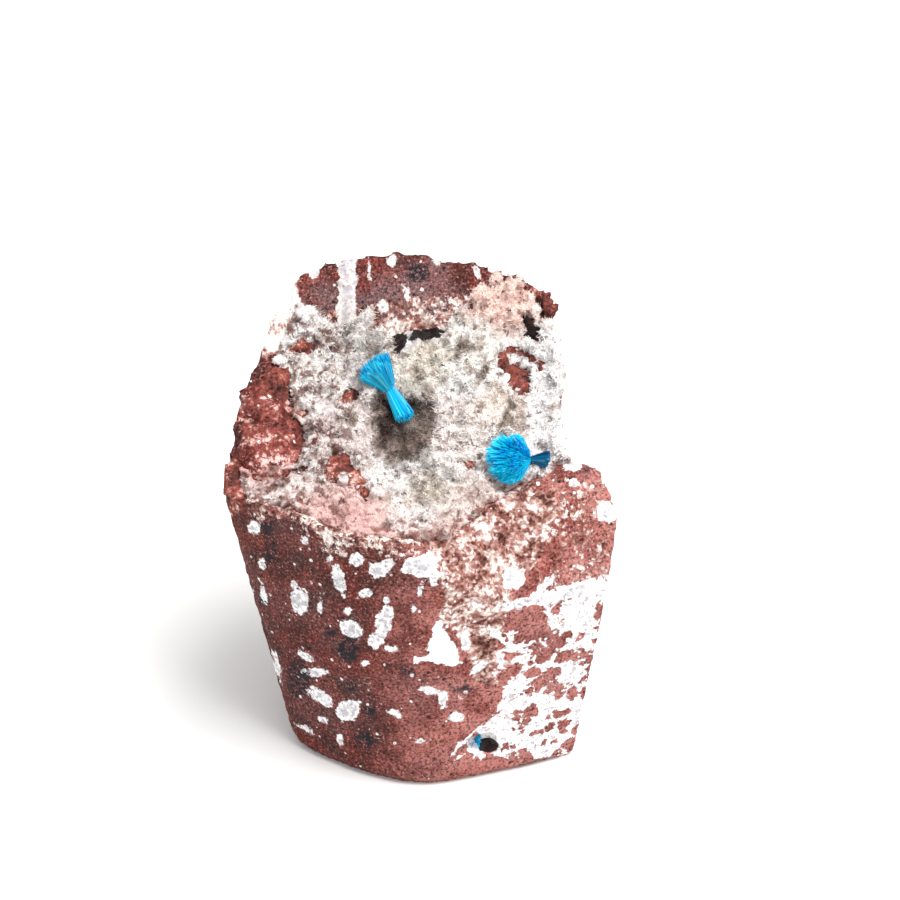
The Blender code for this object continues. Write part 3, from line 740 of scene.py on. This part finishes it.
def grow_fan(middle, axis, half_angle, reach, roundness, waist, stray, count, thick, colours):
    """Feet, directions, sizes and colours of a fan's needles, which stand in bundles; a few get a painted
    glint.
    """
    along = np.array(axis) / np.linalg.norm(axis)
    bundles = fan_directions(axis, half_angle, count // BUNDLE + 6)
    member = draw.integers(0, len(bundles), count)
    pointing = bundles[member] + draw.normal(0.0, stray, (count, 3))
    pointing /= np.linalg.norm(pointing, axis=1)[:, None]
    ahead = np.clip(pointing @ along, 0.2, 1.0)
    outward = pointing - np.outer(pointing @ along, along)
    spread = np.maximum(np.linalg.norm(outward, axis=1), math.sin(math.radians(half_angle)))
    outward *= waist / spread[:, None]
    reaches = reach * ahead ** roundness * draw.uniform(*BUNDLE_LENGTHS, len(bundles))[member]
    reaches *= draw.uniform(*NEEDLE_LENGTHS, count)
    foot = np.array(middle) + outward
    width = thick * draw.uniform(*NEEDLE_WIDTHS, count)
    sizes = np.stack([width, width * NEEDLE_FLAT, reaches], axis=1)
    shade = np.clip(0.7 * draw.random(len(bundles))[member] + 0.5 * draw.random(count) - 0.1, 0.0, 1.0)
    tint = np.outer(1.0 - shade, linear(colours[0])) + np.outer(shade, linear(colours[1]))
    # Painted highlight: a share of the needles is lightened towards the glint colour
    glint = (draw.random(count) > 1.0 - GLINT_SHARE)[:, None] * GLINT_STRENGTH
    return foot, pointing, sizes, tint * (1.0 - glint) + np.array(GLINT) * glint * shade[:, None]


def grow_cluster(name, fans):
    """One piece with the needles of several fans."""
    grown = zip(*[grow_fan(*fan) for fan in fans])
    feet, directions, sizes, colours = (np.concatenate(part) for part in grown)
    turns = draw.uniform(0.0, math.pi, len(feet))
    return plant(name, needle_pattern, feet, directions, turns, sizes, colours)


bowtie = grow_cluster("cavansite_bowtie_needles", BOWTIE_FANS)
rosette = grow_cluster("cavansite_rosette_needles", ROSETTE_FANS)
speck = grow_cluster("cavansite_speck_needles", SPECK_FANS)
print("needles:", triangles(bowtie), triangles(rosette), triangles(speck), "triangles")

# %% [markdown]
# ## Marks on the stone
#
# Gas bubbles in the lava were later filled with white zeolite: those are the amygdales. Cracks were healed
# by the same mineral, and where the stone was shattered the white net holds angular red clasts. The marks
# of the sawn front are listed as the photograph shows them.

# %% Marks

# Amygdales: centre, radii and, where they are tilted, their turn
AMYGDALES = [
    (254, 527, 5, 8, 20), (305, 541, 3, 4), (262, 564, 3.5, 4.5), (357, 560, 7, 7), (300, 600, 9, 13, 5),
    (339, 579, 5, 16, 18), (364, 594, 7, 4, 30), (351, 629, 12, 9, -20), (384, 622, 8, 17, -18),
    (376, 640, 7, 8), (391, 649, 8, 3.5, 5), (420, 592, 3, 5, -15), (413, 608, 2.5, 3), (466, 642, 5, 8),
    (305, 655, 10, 3.5, -32), (316, 672, 11, 4.5, -8), (277, 665, 3.5, 13, 12), (320, 697, 13, 6, -35),
    (348, 710, 11, 11), (394, 713, 10, 4.5, -18), (429, 690, 8, 5, -10), (443, 699, 5, 9, 5),
    (457, 717, 8, 5, 10), (479, 667, 9, 3.5, 40), (497, 673, 3, 2, 20), (321, 606, 2.5, 7, -10),
    (263, 592, 3, 9, 8), (348, 611, 5, 3), (365, 663, 4, 2.5), (305, 728, 8, 2.5, -30),
    (322, 719, 5, 3, -20), (340, 739, 3.5, 6, 10), (421, 740, 7, 2, 5), (330, 558, 4, 3), (387, 600, 3, 3),
    (294, 585, 4, 4), (461, 698, 2.5, 3), (606, 513, 10, 11), (574, 483, 4.5, 4.5), (313, 273, 6, 5),
    (392, 260, 5, 5), (437, 261, 4, 6), (477, 275, 3, 10, 10), (370, 271, 2.5, 7), (383, 307, 5, 9, 10),
    (407, 294, 3, 9, 10), (404, 288, 2, 3), (318, 354, 6, 3, -30),
]
WHITE_LOOPS = {
    "largest, pure white": [(437, 621), (443, 622), (441, 628), (450, 636), (456, 650), (461, 662),
                            (452, 667), (440, 665), (428, 661), (415, 663), (414, 658), (424, 655),
                            (429, 645), (430, 632)],
    "below the lip, left": [(369, 563), (377, 562), (393, 558), (392, 569), (384, 579), (373, 580),
                            (369, 572)],
    "below the lip, triangle": [(400, 572), (404, 560), (418, 554), (431, 550), (436, 566), (428, 580),
                                (415, 576)],
    "below the lip, point": [(427, 571), (448, 574), (433, 587)],
    "right rim": [(557, 325), (578, 325), (582, 470), (563, 470)],
    "right front": [(500, 575), (508, 569), (522, 570), (527, 580), (518, 590), (504, 588)],
    "by the crack": [(403, 334), (414, 330), (418, 338), (436, 338), (440, 331), (452, 332), (450, 346),
                     (425, 352), (395, 357), (388, 351), (404, 349)],
    "vein down the back": [(336, 250), (357, 250), (357, 300), (354, 326), (337, 326), (338, 300)],
    "vein to the shoulder": [(497, 606), (512, 600), (528, 596), (540, 584), (556, 572), (552, 582),
                             (541, 594), (560, 590), (575, 584), (609, 580), (608, 592), (580, 598),
                             (556, 602), (530, 607), (510, 612)],
}
STAINS = [
    (348, 650, 12, 14), (298, 679, 11, 22), (407, 670, 7, 6), (462, 688, 11, 4), (370, 710, 8, 7),
    (366, 740, 13, 8), (271, 553, 8, 10), (331, 633, 7, 5), (263, 600, 4, 8), (395, 547, 8, 7),
    (268, 527, 5, 9), (351, 687, 6, 5), (378, 698, 6, 2), (417, 273, 12, 10), (232, 480, 6, 10),
    (530, 475, 12, 5), (586, 470, 6, 3),
]
# Shattered stone with a white net: its outline, and how much of it is white
VEIN_ZONES = {
    "right, upper": ([(541, 590), (609, 576), (606, 600), (600, 640), (560, 640), (548, 625)], 0.52),
    "right edge": ([(560, 600), (612, 590), (606, 640), (592, 700), (580, 755), (548, 755), (562, 700)],
                   0.58),
    "middle": ([(488, 625), (540, 640), (578, 640), (568, 692), (530, 692), (500, 672)], 0.40),
    "lower": ([(440, 758), (475, 732), (500, 712), (516, 690), (545, 694), (580, 700), (576, 758)], 0.78),
    "join": ([(498, 712), (512, 655), (530, 650), (536, 700)], 0.6),
}
# Crumbly stone with pale grains: its outline, and how much of it is pale
PALE_ZONES = {
    "plucked front": ([(440, 556), (500, 548), (512, 600), (500, 640), (496, 690), (474, 680), (462, 640),
                       (440, 616)], 0.75),
    "lip": ([(405, 520), (470, 488), (530, 480), (560, 500), (540, 560), (500, 600), (450, 590), (425, 545)],
            0.80),
    "shoulder": ([(540, 478), (620, 478), (624, 590), (540, 590)], 0.35),
    "back, low": ([(300, 318), (380, 300), (470, 296), (500, 310), (450, 345), (390, 345), (300, 345)], 0.6),
    "left facet": ([(262, 300), (283, 280), (299, 276), (299, 300), (300, 345), (280, 352), (264, 356)], 1.6),
    "round the crack": ([(384, 320), (450, 316), (456, 345), (425, 354), (388, 358)], 1.2),
    "front rim": ([(246, 500), (290, 498), (325, 518), (350, 526), (390, 530), (430, 528), (455, 526),
                   (460, 540), (428, 547), (400, 543), (384, 550), (358, 549), (327, 544), (298, 520),
                   (270, 513), (246, 517)], 0.62),
    "below the rim": ([(252, 512), (290, 512), (327, 545), (384, 550), (430, 545), (430, 556), (384, 560),
                       (356, 560), (325, 556), (290, 524), (252, 524)], 0.4),
}
CORAL_ZONE = [(238, 400), (262, 380), (290, 400), (306, 440), (300, 480), (244, 484)]
PIT = (488, 745, 9, 7)
# How far a zone fades at its edge, in millimetres, and how the edges of the marks are broken up
ZONE_FADE = 0.5
OVAL_EDGE = (1.0, 0.16)
LOOP_EDGE = (0.8, 0.34)
CRACK_EDGE = (0.8, 0.4)
# Ranges of pixels in the photograph, from where an effect starts to where it is full
BACK_WALL = (350.0, 330.0)
RIGHT_OF_MIDDLE = (350.0, 465.0)


def mark_share(spots, zones):
    """The share of the zone that each spot is in, faded out at the zone's edge."""
    share = np.zeros(len(spots))
    for corners, amount in zones.values():
        share = np.maximum(share, amount * smooth(ZONE_FADE, -ZONE_FADE, loop(spots, corners)))
    return share


points, normals = read_vertices(stone)
spots = ragged(to_photo(points), points, *OVAL_EDGE)
in_view = normals @ toward_camera > 0.0
rough_spots = ragged(to_photo(points), points, *LOOP_EDGE)
white = np.minimum(ovals(spots, AMYGDALES), loops(rough_spots, WHITE_LOOPS.values()))
pure = smooth(0.4, 0.1, loop(rough_spots, WHITE_LOOPS["largest, pure white"]))
stain = smooth(0.35, -0.45, ovals(spots, STAINS))
print("marked vertices:", int((white < 0.0).sum()), "white,", int((stain > 0.5).sum()), "stained")

# %% [markdown]
# ## The sides that the photograph doesn't show
#
# The same lava goes on round the back, so it has the same bubbles: seeded random points on the surface,
# each with an oval of its own. They are only used where the camera doesn't look. All marks are then kept at
# the vertices by name: dull is the greyer back wall, and one mark is painted light, the brighter red laid on
# the right-hand front where the lamp falls.

# %% Marks on the hidden sides
HIDDEN_AMYGDALES = 150
HIDDEN_STRETCH = (0.6, 1.6)
HIDDEN_RADII = (0.2, 0.95)


def allow_hidden(points, normals):
    """One where the camera doesn't look, at any of these points."""
    return (normals @ CAMERA_SPOT < 0.0) * np.ones(len(points))


hidden_feet = surface_feet(stone, HIDDEN_AMYGDALES, allow_hidden)[0]
hidden_white = np.full(len(points), 5.0)
for foot in hidden_feet:
    stretch = draw.uniform(*HIDDEN_STRETCH, 3)
    radius = draw.uniform(*HIDDEN_RADII)
    away = np.linalg.norm((points - foot) / stretch, axis=1)
    hidden_white = np.minimum(hidden_white, away - radius)
white = np.where(in_view, white, hidden_white)
stain = np.where(in_view, stain, smooth(0.25, 0.7, lumps(points, 4.0, 90.0)) * 0.8)
vein = mark_share(spots, VEIN_ZONES)
vein = np.where(in_view, vein, 0.55 * smooth(0.05, 0.45, lumps(points, 14.0, 60.0)))
pale = mark_share(spots, PALE_ZONES)
pale = np.where(in_view, pale, 0.4 * smooth(0.0, 0.5, lumps(points, 7.0, 20.0)))
bare = loops(spots, [corners for name, corners in BARE_PATCHES.items() if "coral" not in name])
bare = np.where(in_view, 0.7 * smooth(0.6, 0.0, bare), 0.0)
coral = np.where(in_view, smooth(1.0, -1.0, loop(spots, CORAL_ZONE)), 0.0)
purple = np.where(in_view, 0.62 * smooth(0.5, -0.2, loop(spots, BARE_PATCHES["purple"])), 0.0)
torn = ragged(spots, points, *CRACK_EDGE)
# Painted shade of the open crack and the pit, kept in one mark with the purple patch's own dark colour
crack = np.maximum(smooth(0.7, -0.3, ovals(torn, CRACK)), smooth(0.35, -0.1, oval(spots, *PIT)))
dull = smooth(*BACK_WALL, spots[:, 1])
# Painted light: the right-hand front is laid a brighter red, where the lamp on the right falls
painted_right_light = smooth(*RIGHT_OF_MIDDLE, spots[:, 0]) * (1.0 - dull) * (1.0 - bare)
marks = {"white_mm": white, "stain": stain, "vein": vein, "pale": pale, "coral": coral, "bare": bare,
         "dull": dull, "painted_right_light": painted_right_light, "pure": np.where(in_view, pure, 0.0),
         "dark": np.maximum(purple, np.where(in_view, crack, 0.0))}
for name, values in marks.items():
    store(stone, name, values)
print("hidden amygdales:", HIDDEN_AMYGDALES, "and marks at the vertices:", ", ".join(marks))

# %% [markdown]
# ## Building materials
#
# Every material is a small net of nodes. One function adds a node, sets it up and plugs in its links, and
# gives back the node's first output. A pattern's scale is worked out from a real size, because a texture
# repeats about once per unit of its input, and an Object coordinate is in metres. A natural colour is built
# up in layers, as a painter does: each layer covers what is under it where some value is high enough.

# %% Node helpers


def add(tree, kind, sockets=None, **settings):
    """Add a ShaderNode of that kind. Each socket, by name or number, gets a value or a node's output."""
    node = tree.nodes.new("ShaderNode" + kind)
    for name, setting in settings.items():
        setattr(node, name, setting)
    for socket, source in (sockets or {}).items():
        if isinstance(source, bpy.types.NodeSocket):
            tree.links.new(source, node.inputs[socket])
        else:
            node.inputs[socket].default_value = source
    outputs = [output for output in node.outputs if output.enabled]
    return outputs[0] if outputs else None


def per(size):
    """The scale that makes a pattern repeat about every so many millimetres."""
    return 1.0 / (size * MM)


def rgba(colour):
    """A hex colour as a socket wants it. A node's output stays as it is."""
    return (*linear(colour), 1.0) if isinstance(colour, str) else colour


def new_material(name):
    """An empty material and its node tree."""
    material = bpy.data.materials.new(name)
    material.use_nodes = True
    material.node_tree.nodes.clear()
    return material, material.node_tree


def set_surface(tree, sockets):
    """Give a material one principled shader with these sockets."""
    shader = add(tree, "BsdfPrincipled", sockets)
    add(tree, "OutputMaterial", {"Surface": shader})


def lay_over(tree, under, layers):
    """Lay colours over a colour. A layer: a value, where it starts and is full, its most, its colour."""
    for value, start, full, most, over in layers:
        share = add(tree, "MapRange", {"Value": value, "From Min": start, "From Max": full, "To Max": most})
        under = add(tree, "Mix", {0: share, 6: rgba(under), 7: rgba(over)}, data_type="RGBA")
    return under


# %% [markdown]
# ## Altered basalt: its patterns
#
# Close up the stone is a sandy mix of grains, with lumps and clouds of every size up to a centimetre. Each
# is one noise, and they are all listed with their sizes here. The photograph resolves grains of about a
# quarter of a millimetre, so the sand is drawn at that size, and the real one is finer still.

# %% Patterns of the stone
# How wide the lumps are in millimetres, how many finer sizes lie on them, and how strong those are
STONE_PATTERNS = {
    "sand": (0.3, 4.0, 0.75),
    "patches": (3.2, 3.0, 0.5),
    "grey": (9.0, 3.0, 0.5),
    "smudge": (0.6, 4.0, 0.7),
    "crumb": (0.9, 5.0, 0.75),
    "bubble edge": (0.45, 5.0, 0.75),
    "bubble shape": (1.5, 2.0, 0.5),
    "vein edge": (0.4, 5.0, 0.8),
    "vein swell": (2.4, 2.0, 0.5),
    "dot edge": (0.4, 3.0, 0.5),
    "milky cloud": (0.7, 4.0, 0.7),
    "milky grain": (0.35, 4.0, 0.75),
    "sway": (1.8, 4.0, 0.5),
}
# How far the sway bends the vein net, in millimetres, and the share of it that bends the grains
BEND = 1.6
GRAIN_NUDGE = 0.25


def stone_parts(tree):
    """All that the stone's layers are made of: its place, its patterns and the marks at its vertices."""
    place = add(tree, "TexCoord").node.outputs["Object"]
    parts = {"place": place}
    for name, (size, detail, roughness) in STONE_PATTERNS.items():
        parts[name] = add(tree, "TexNoise", {"Vector": place, "Scale": per(size), "Detail": detail,
                                             "Roughness": roughness})
    for name in marks:
        parts[name] = add(tree, "Attribute", attribute_name=name)
    sway = parts["sway"].node.outputs["Color"]
    sway = add(tree, "VectorMath", {0: sway, "Scale": BEND * MM}, operation="SCALE")
    nudge = add(tree, "VectorMath", {0: sway, "Scale": GRAIN_NUDGE}, operation="SCALE")
    parts["bent"] = add(tree, "VectorMath", {0: place, 1: sway}, operation="ADD")
    parts["nudged"] = add(tree, "VectorMath", {0: place, 1: nudge}, operation="ADD")
    return parts


# %% [markdown]
# ## Altered basalt: the red stone
#
# Basalt is a fine-grained lava. Weathering turned its iron to red and brown oxide, so it is brick red,
# brown and nearly black with a few pale grains. Its right-hand front is painted a lighter red, as painted
# light from the lamp on the right. Dark blue-black smudges of clay lie in the red.

# %% Red stone


def red_stone(tree, parts):
    """The colour of the bare stone with its smudges, and painted light on its right-hand front."""
    # Painted light: the brown and the red are laid brighter on the right-hand front, where the lamp falls
    brown = lay_over(tree, "#4a2825", [(parts["painted_right_light"], 0.0, 1.0, 1.0, "#8c4a43")])
    most_grey = add(tree, "Math", {0: parts["dull"], 1: 0.5, 2: 0.2}, operation="MULTIPLY_ADD")
    return lay_over(tree, "#6d2f29", [
        (parts["painted_right_light"], 0.0, 1.0, 1.0, "#b9776f"),
        (parts["patches"], 0.42, 0.6, 1.0, brown),
        (parts["grey"], 0.45, 0.6, most_grey, "#7a6061"),
        (parts["sand"], 0.52, 0.39, 0.9, "#22120f"),
        (parts["sand"], 0.56, 0.68, 0.8, "#d08a7e"),
        (parts["smudge"], 0.62, 0.5, parts["stain"], "#1d1e24"),
    ])


# %% [markdown]
# ## Altered basalt: broken grains
#
# Where the stone was broken instead of sawn, it shows loose grains of every colour, and on the left
# shoulder they are coral pink. Each Voronoi cell is one grain, and takes its colour from a short list.

# %% Grains
LOOSE_GRAIN = 0.36
# Each kind: the mark that says where it is, how much that mark counts, and its colours from dark to pale
GRAIN_KINDS = [
    ("pale", 0.32, [(0.0, "#281714"), (0.2, "#5a362f"), (0.36, "#8d5a50"), (0.52, "#ac8d84"),
                    (0.7, "#dccdc6"), (0.88, "#f8f3f0")]),
    ("coral", 0.22, [(0.0, "#260e0b"), (0.24, "#5c2a25"), (0.46, "#803f38"), (0.62, "#9e5e55"),
                     (0.82, "#d9bbb4")]),
    ("bare", 0.32, [(0.0, "#27120f"), (0.24, "#55302b"), (0.46, "#7c3d34"), (0.64, "#9a5346"),
                    (0.82, "#cba99e"), (0.94, "#efe6e2")]),
]


def grain_chance(tree, parts):
    """A number for each grain: part by chance for its cell, part by clouds that let neighbours be alike."""
    place = parts["nudged"]
    cells = add(tree, "TexVoronoi", {"Vector": place, "Scale": per(LOOSE_GRAIN)})
    chance = add(tree, "SeparateColor", {0: cells.node.outputs["Color"]})
    cloud = add(tree, "TexNoise", {"Vector": place, "Scale": per(0.7), "Detail": 5.0, "Roughness": 0.8})
    cloud = add(tree, "MapRange", {"Value": cloud, "From Min": 0.32, "From Max": 0.68, "To Max": 0.5})
    wide = add(tree, "TexNoise", {"Vector": place, "Scale": per(2.2), "Detail": 2.0})
    wide = add(tree, "MapRange", {"Value": wide, "From Min": 0.35, "From Max": 0.65, "To Min": -0.22,
                                  "To Max": 0.25})
    chance = add(tree, "Math", {0: chance, 1: 0.38, 2: cloud}, operation="MULTIPLY_ADD")
    return add(tree, "Math", {0: chance, 1: wide}, operation="ADD")


def grain_layers(tree, parts):
    """One layer for each kind of grain. A mark above one makes its grains paler."""
    layers = []
    chance = grain_chance(tree, parts)
    for name, weight, colours in GRAIN_KINDS:
        paler = add(tree, "MapRange", {"Value": parts[name], "From Min": 0.9, "From Max": 1.6, "To Max": 0.4})
        pick = add(tree, "Math", {0: chance, 1: paler}, operation="ADD")
        grains = add(tree, "ValToRGB", {0: pick})
        ramp = grains.node.color_ramp
        ramp.elements[0].color = rgba(colours[0][1])
        ramp.elements.remove(ramp.elements[1])
        for start, code in colours[1:]:
            ramp.elements.new(start).color = rgba(code)
        cover = add(tree, "Math", {0: parts[name], 1: weight, 2: parts["crumb"]}, operation="MULTIPLY_ADD")
        layers.append((cover, 0.62, 0.67, 1.0, grains))
    return layers


# %% [markdown]
# ## White fillings: amygdales, veins and dots
#
# The white is one mineral in three shapes. An amygdale's edge comes from the distance that its vertices
# carry, roughened by noise. The net of veins follows the borders between Voronoi cells: the cells are the
# red clasts, and the higher the vein share, the further the white reaches in from the borders. Inside, the
# filling is milky with grey clear spots. The dots serve twice: white as the smallest bubbles, and as holes
# painted dark as their shade.

# %% White fillings
CLAST = 2.3
SMALL_CLAST = 0.85
# How far apart the dots are in millimetres, the share of cells without one, and how large they grow
WHITE_DOTS = (1.0, 0.5, 0.2)
# Painted shade: the dark holes are dots with no depth in the mesh
DARK_HOLES = (0.85, 0.45, 0.22)


def filled_bubbles(tree, parts):
    """One inside an amygdale."""
    rough = add(tree, "Math", {0: parts["bubble edge"], 1: parts["bubble shape"]}, operation="ADD")
    edge = add(tree, "Math", {0: rough, 1: 0.95, 2: parts["white_mm"]}, operation="MULTIPLY_ADD")
    return add(tree, "MapRange", {"Value": edge, "From Min": 0.98, "From Max": 0.89})


def vein_net(tree, parts):
    """One inside a vein."""
    net, small_net = (add(tree, "TexVoronoi", {"Vector": parts["bent"], "Scale": per(size)},
                          feature="DISTANCE_TO_EDGE") for size in (CLAST, SMALL_CLAST))
    net = add(tree, "Math", {0: small_net, 1: 0.4, 2: net}, operation="MULTIPLY_ADD")
    net = add(tree, "Math", {0: parts["vein edge"], 1: 0.45, 2: net}, operation="MULTIPLY_ADD")
    width = add(tree, "MapRange", {"Value": parts["vein swell"], "From Min": 0.36, "From Max": 0.64,
                                   "To Min": 0.1, "To Max": 0.8})
    reach = add(tree, "Math", {0: width, 1: parts["vein"], 2: 0.2}, operation="MULTIPLY_ADD")
    inside = add(tree, "Math", {0: reach, 1: net}, operation="SUBTRACT")
    share = add(tree, "MapRange", {"Value": inside, "From Min": -0.015, "From Max": 0.015})
    whole = add(tree, "MapRange", {"Value": parts["vein edge"], "From Min": 0.64, "From Max": 0.6})
    present = add(tree, "MapRange", {"Value": parts["vein"], "From Min": 0.02, "From Max": 0.1})
    share = add(tree, "Math", {0: share, 1: whole}, operation="MULTIPLY")
    return add(tree, "Math", {0: share, 1: present}, operation="MULTIPLY")


def scattered_dots(tree, parts, spacing, rarest, largest):
    """One inside a small scattered dot, each dot with its own size."""
    dots = add(tree, "TexVoronoi", {"Vector": parts["place"], "Scale": per(spacing)})
    chance = add(tree, "SeparateColor", {0: dots.node.outputs["Color"]})
    size = add(tree, "MapRange", {"Value": chance, "From Min": rarest, "To Min": -0.12, "To Max": largest})
    inside = add(tree, "Math", {0: size, 1: dots}, operation="SUBTRACT")
    inside = add(tree, "Math", {0: parts["dot edge"], 1: 0.35, 2: inside}, operation="MULTIPLY_ADD")
    return add(tree, "MapRange", {"Value": inside, "From Min": 0.1, "From Max": 0.14, "To Max": 0.85})


def milky_filling(tree, parts):
    """The colour of the white mineral, greyer deep inside, and plain white where the mark says pure."""
    deep = add(tree, "MapRange", {"Value": parts["white_mm"], "From Min": -0.15, "From Max": -0.7,
                                  "To Max": 0.08})
    cloudy = add(tree, "Math", {0: parts["milky cloud"], 1: deep}, operation="ADD")
    most_grey, most_dark = (add(tree, "MapRange", {"Value": parts["pure"], "To Min": most, "To Max": least})
                            for most, least in ((0.8, 0.08), (0.65, 0.1)))
    return lay_over(tree, "#f8f6f5", [
        (parts["dull"], 0.0, 1.0, 1.0, "#dcd3cd"),
        (cloudy, 0.46, 0.62, most_grey, "#a6a2a9"),
        (parts["milky grain"], 0.57, 0.65, most_dark, "#6e5559"),
    ])


# %% [markdown]
# ## Altered basalt: the layers together
#
# The layers are laid over each other as they lie in the stone: red sand with its smudges, holes painted
# dark as their shade, broken grains, white fillings, and last the dark purple patch with the painted shade
# of the open crack and the pit, which are too narrow to light.
# The surface is matt, because it was sawn and never polished.

# %% Basalt material


def basalt_material():
    """The red stone with its holes painted dark as shade, grains, white fillings, and the purple patch and
    painted shade.
    """
    material, tree = new_material("altered_basalt")
    parts = stone_parts(tree)
    # Painted shade of small holes, drawn as dark dots
    holes = scattered_dots(tree, parts, *DARK_HOLES)
    white = add(tree, "Math", {0: filled_bubbles(tree, parts), 1: vein_net(tree, parts)}, operation="MAXIMUM")
    white = add(tree, "Math", {0: white, 1: scattered_dots(tree, parts, *WHITE_DOTS)}, operation="MAXIMUM")
    shade = add(tree, "Math", {0: parts["crumb"], 1: 0.8, 2: parts["dark"]}, operation="MULTIPLY_ADD")
    colour = lay_over(tree, red_stone(tree, parts), [
        (holes, 0.0, 1.0, 1.0, "#160b0a"),
        *grain_layers(tree, parts),
        (white, 0.0, 1.0, 1.0, milky_filling(tree, parts)),
        (shade, 0.84, 0.98, 0.97, "#170d0d"),
    ])
    bump = add(tree, "Bump", {"Strength": 0.8, "Distance": 0.12 * MM, "Height": parts["sand"]})
    set_surface(tree, {"Base Color": colour, "Normal": bump, "Roughness": 0.85, "Specular IOR Level": 0.2})
    return material


stone.data.materials.append(basalt_material())
print("basalt:", len(stone.data.materials[0].node_tree.nodes), "nodes")

# %% [markdown]
# ## Zeolite and cavansite
#
# A zeolite blade is clear like glass, with an index of refraction of about 1.49. A crowd of them looks
# white, as snow does, because light is scattered by thousands of faces. A little transmission lightens
# their edges, and the crust under them is milky. Cavansite is a vanadium silicate with a glassy lustre, and
# vanadium makes it blue. Its index of refraction is about 1.55. The needles let a little light through, so
# the fans glow at their thin edges.

# %% Crystal materials
ZEOLITE_IOR = 1.49
CAVANSITE_IOR = 1.55


def crystal_material(name, sockets):
    """A clear mineral in the colours that its vertices carry."""
    material, tree = new_material(name)
    set_surface(tree, {"Base Color": add(tree, "Attribute", attribute_name="tint"), **sockets})
    return material


def zeolite_crust_material():
    """The milky crust, with a fine grain that darkens and roughens it."""
    material, tree = new_material("zeolite_crust")
    place = add(tree, "TexCoord").node.outputs["Object"]
    tint = add(tree, "Attribute", attribute_name="tint")
    grain = add(tree, "TexNoise", {"Vector": place, "Scale": per(0.35), "Detail": 5.0, "Roughness": 0.75})
    colour = lay_over(tree, tint, [(grain, 0.52, 0.38, 0.4, "#97786c")])
    bump = add(tree, "Bump", {"Strength": 1.0, "Distance": 0.3 * MM, "Height": grain})
    set_surface(tree, {"Base Color": colour, "Normal": bump, "Roughness": 0.4, "IOR": ZEOLITE_IOR})
    return material


crust.data.materials.append(zeolite_crust_material())
clear_zeolite = crystal_material("zeolite_blades", {"Roughness": 0.25, "IOR": ZEOLITE_IOR,
                                                    "Transmission Weight": 0.1})
blue_cavansite = crystal_material("cavansite", {"Roughness": 0.2, "IOR": CAVANSITE_IOR,
                                                "Specular IOR Level": 0.2, "Transmission Weight": 0.1})
for piece in blades:
    piece.data.materials.append(clear_zeolite)
for piece in (bowtie, rosette, speck):
    piece.data.materials.append(blue_cavansite)
for piece in (stone, crust):
    only(piece)
    bpy.ops.object.shade_smooth()
print("zeolite on", len(blades) + 1, "pieces, cavansite on 3")

# %% [markdown]
# ## Floor and light
#
# A small stone is photographed under a large soft light from above, on a pale surface that throws light
# back into its shadows. The lamp stands a little to the right, so the right-hand front is the brighter one.

# %% Floor and light
FLOOR_SIDE = 3.0
bpy.ops.object.select_all(action="DESELECT")
bpy.ops.mesh.primitive_plane_add(size=FLOOR_SIDE, location=(0.0, 0.0, 0.0))
floor = bpy.context.object
floor.name = "floor"
floor_material, floor_tree = new_material("pale_floor")
set_surface(floor_tree, {"Base Color": rgba("#f4f4f3"), "Roughness": 0.7})
floor.data.materials.append(floor_material)


def soft_light(name, spot, aim, side, power):
    """A square lamp at a spot, turned to an aim, all in millimetres."""
    bpy.ops.object.light_add(type="AREA", location=[value * MM for value in spot])
    lamp = bpy.context.object
    lamp.name = name
    lamp.data.size = side * MM
    lamp.data.energy = power
    toward = Vector(aim) - Vector(spot)
    lamp.rotation_euler = toward.to_track_quat("-Z", "Y").to_euler()
    return lamp


soft_light("overhead_softbox", (150.0, -90.0, 420.0), (0.0, 0.0, 30.0), 280.0, 2.5)
soft_light("front_fill", (120.0, -420.0, 160.0), (0.0, 0.0, 20.0), 300.0, 0.2)
world = bpy.data.worlds.new("studio")
world.use_nodes = True
world.node_tree.nodes["Background"].inputs["Color"].default_value = rgba("#ffffff")
world.node_tree.nodes["Background"].inputs["Strength"].default_value = 0.80
bpy.context.scene.world = world
bpy.context.scene.view_settings.view_transform = "Standard"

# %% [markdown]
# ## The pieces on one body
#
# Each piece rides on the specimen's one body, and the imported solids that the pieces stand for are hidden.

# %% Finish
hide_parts("matrix_rock")
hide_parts("crystal_crust")
for piece in blades:
    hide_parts("crystal_crust")
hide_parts("cavansite_bowtie")
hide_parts("cavansite_rosette")
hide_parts("cavansite_speck")
for piece, slot in ([(stone, "altered_basalt"), (crust, "zeolite")] + [(piece, "zeolite") for piece in blades]
                    + [(piece, "cavansite") for piece in (bowtie, rosette, speck)]):
    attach(piece, "root")
print("solids", [tuple(round(v, 4) for v in corner) for corner in cad_box])
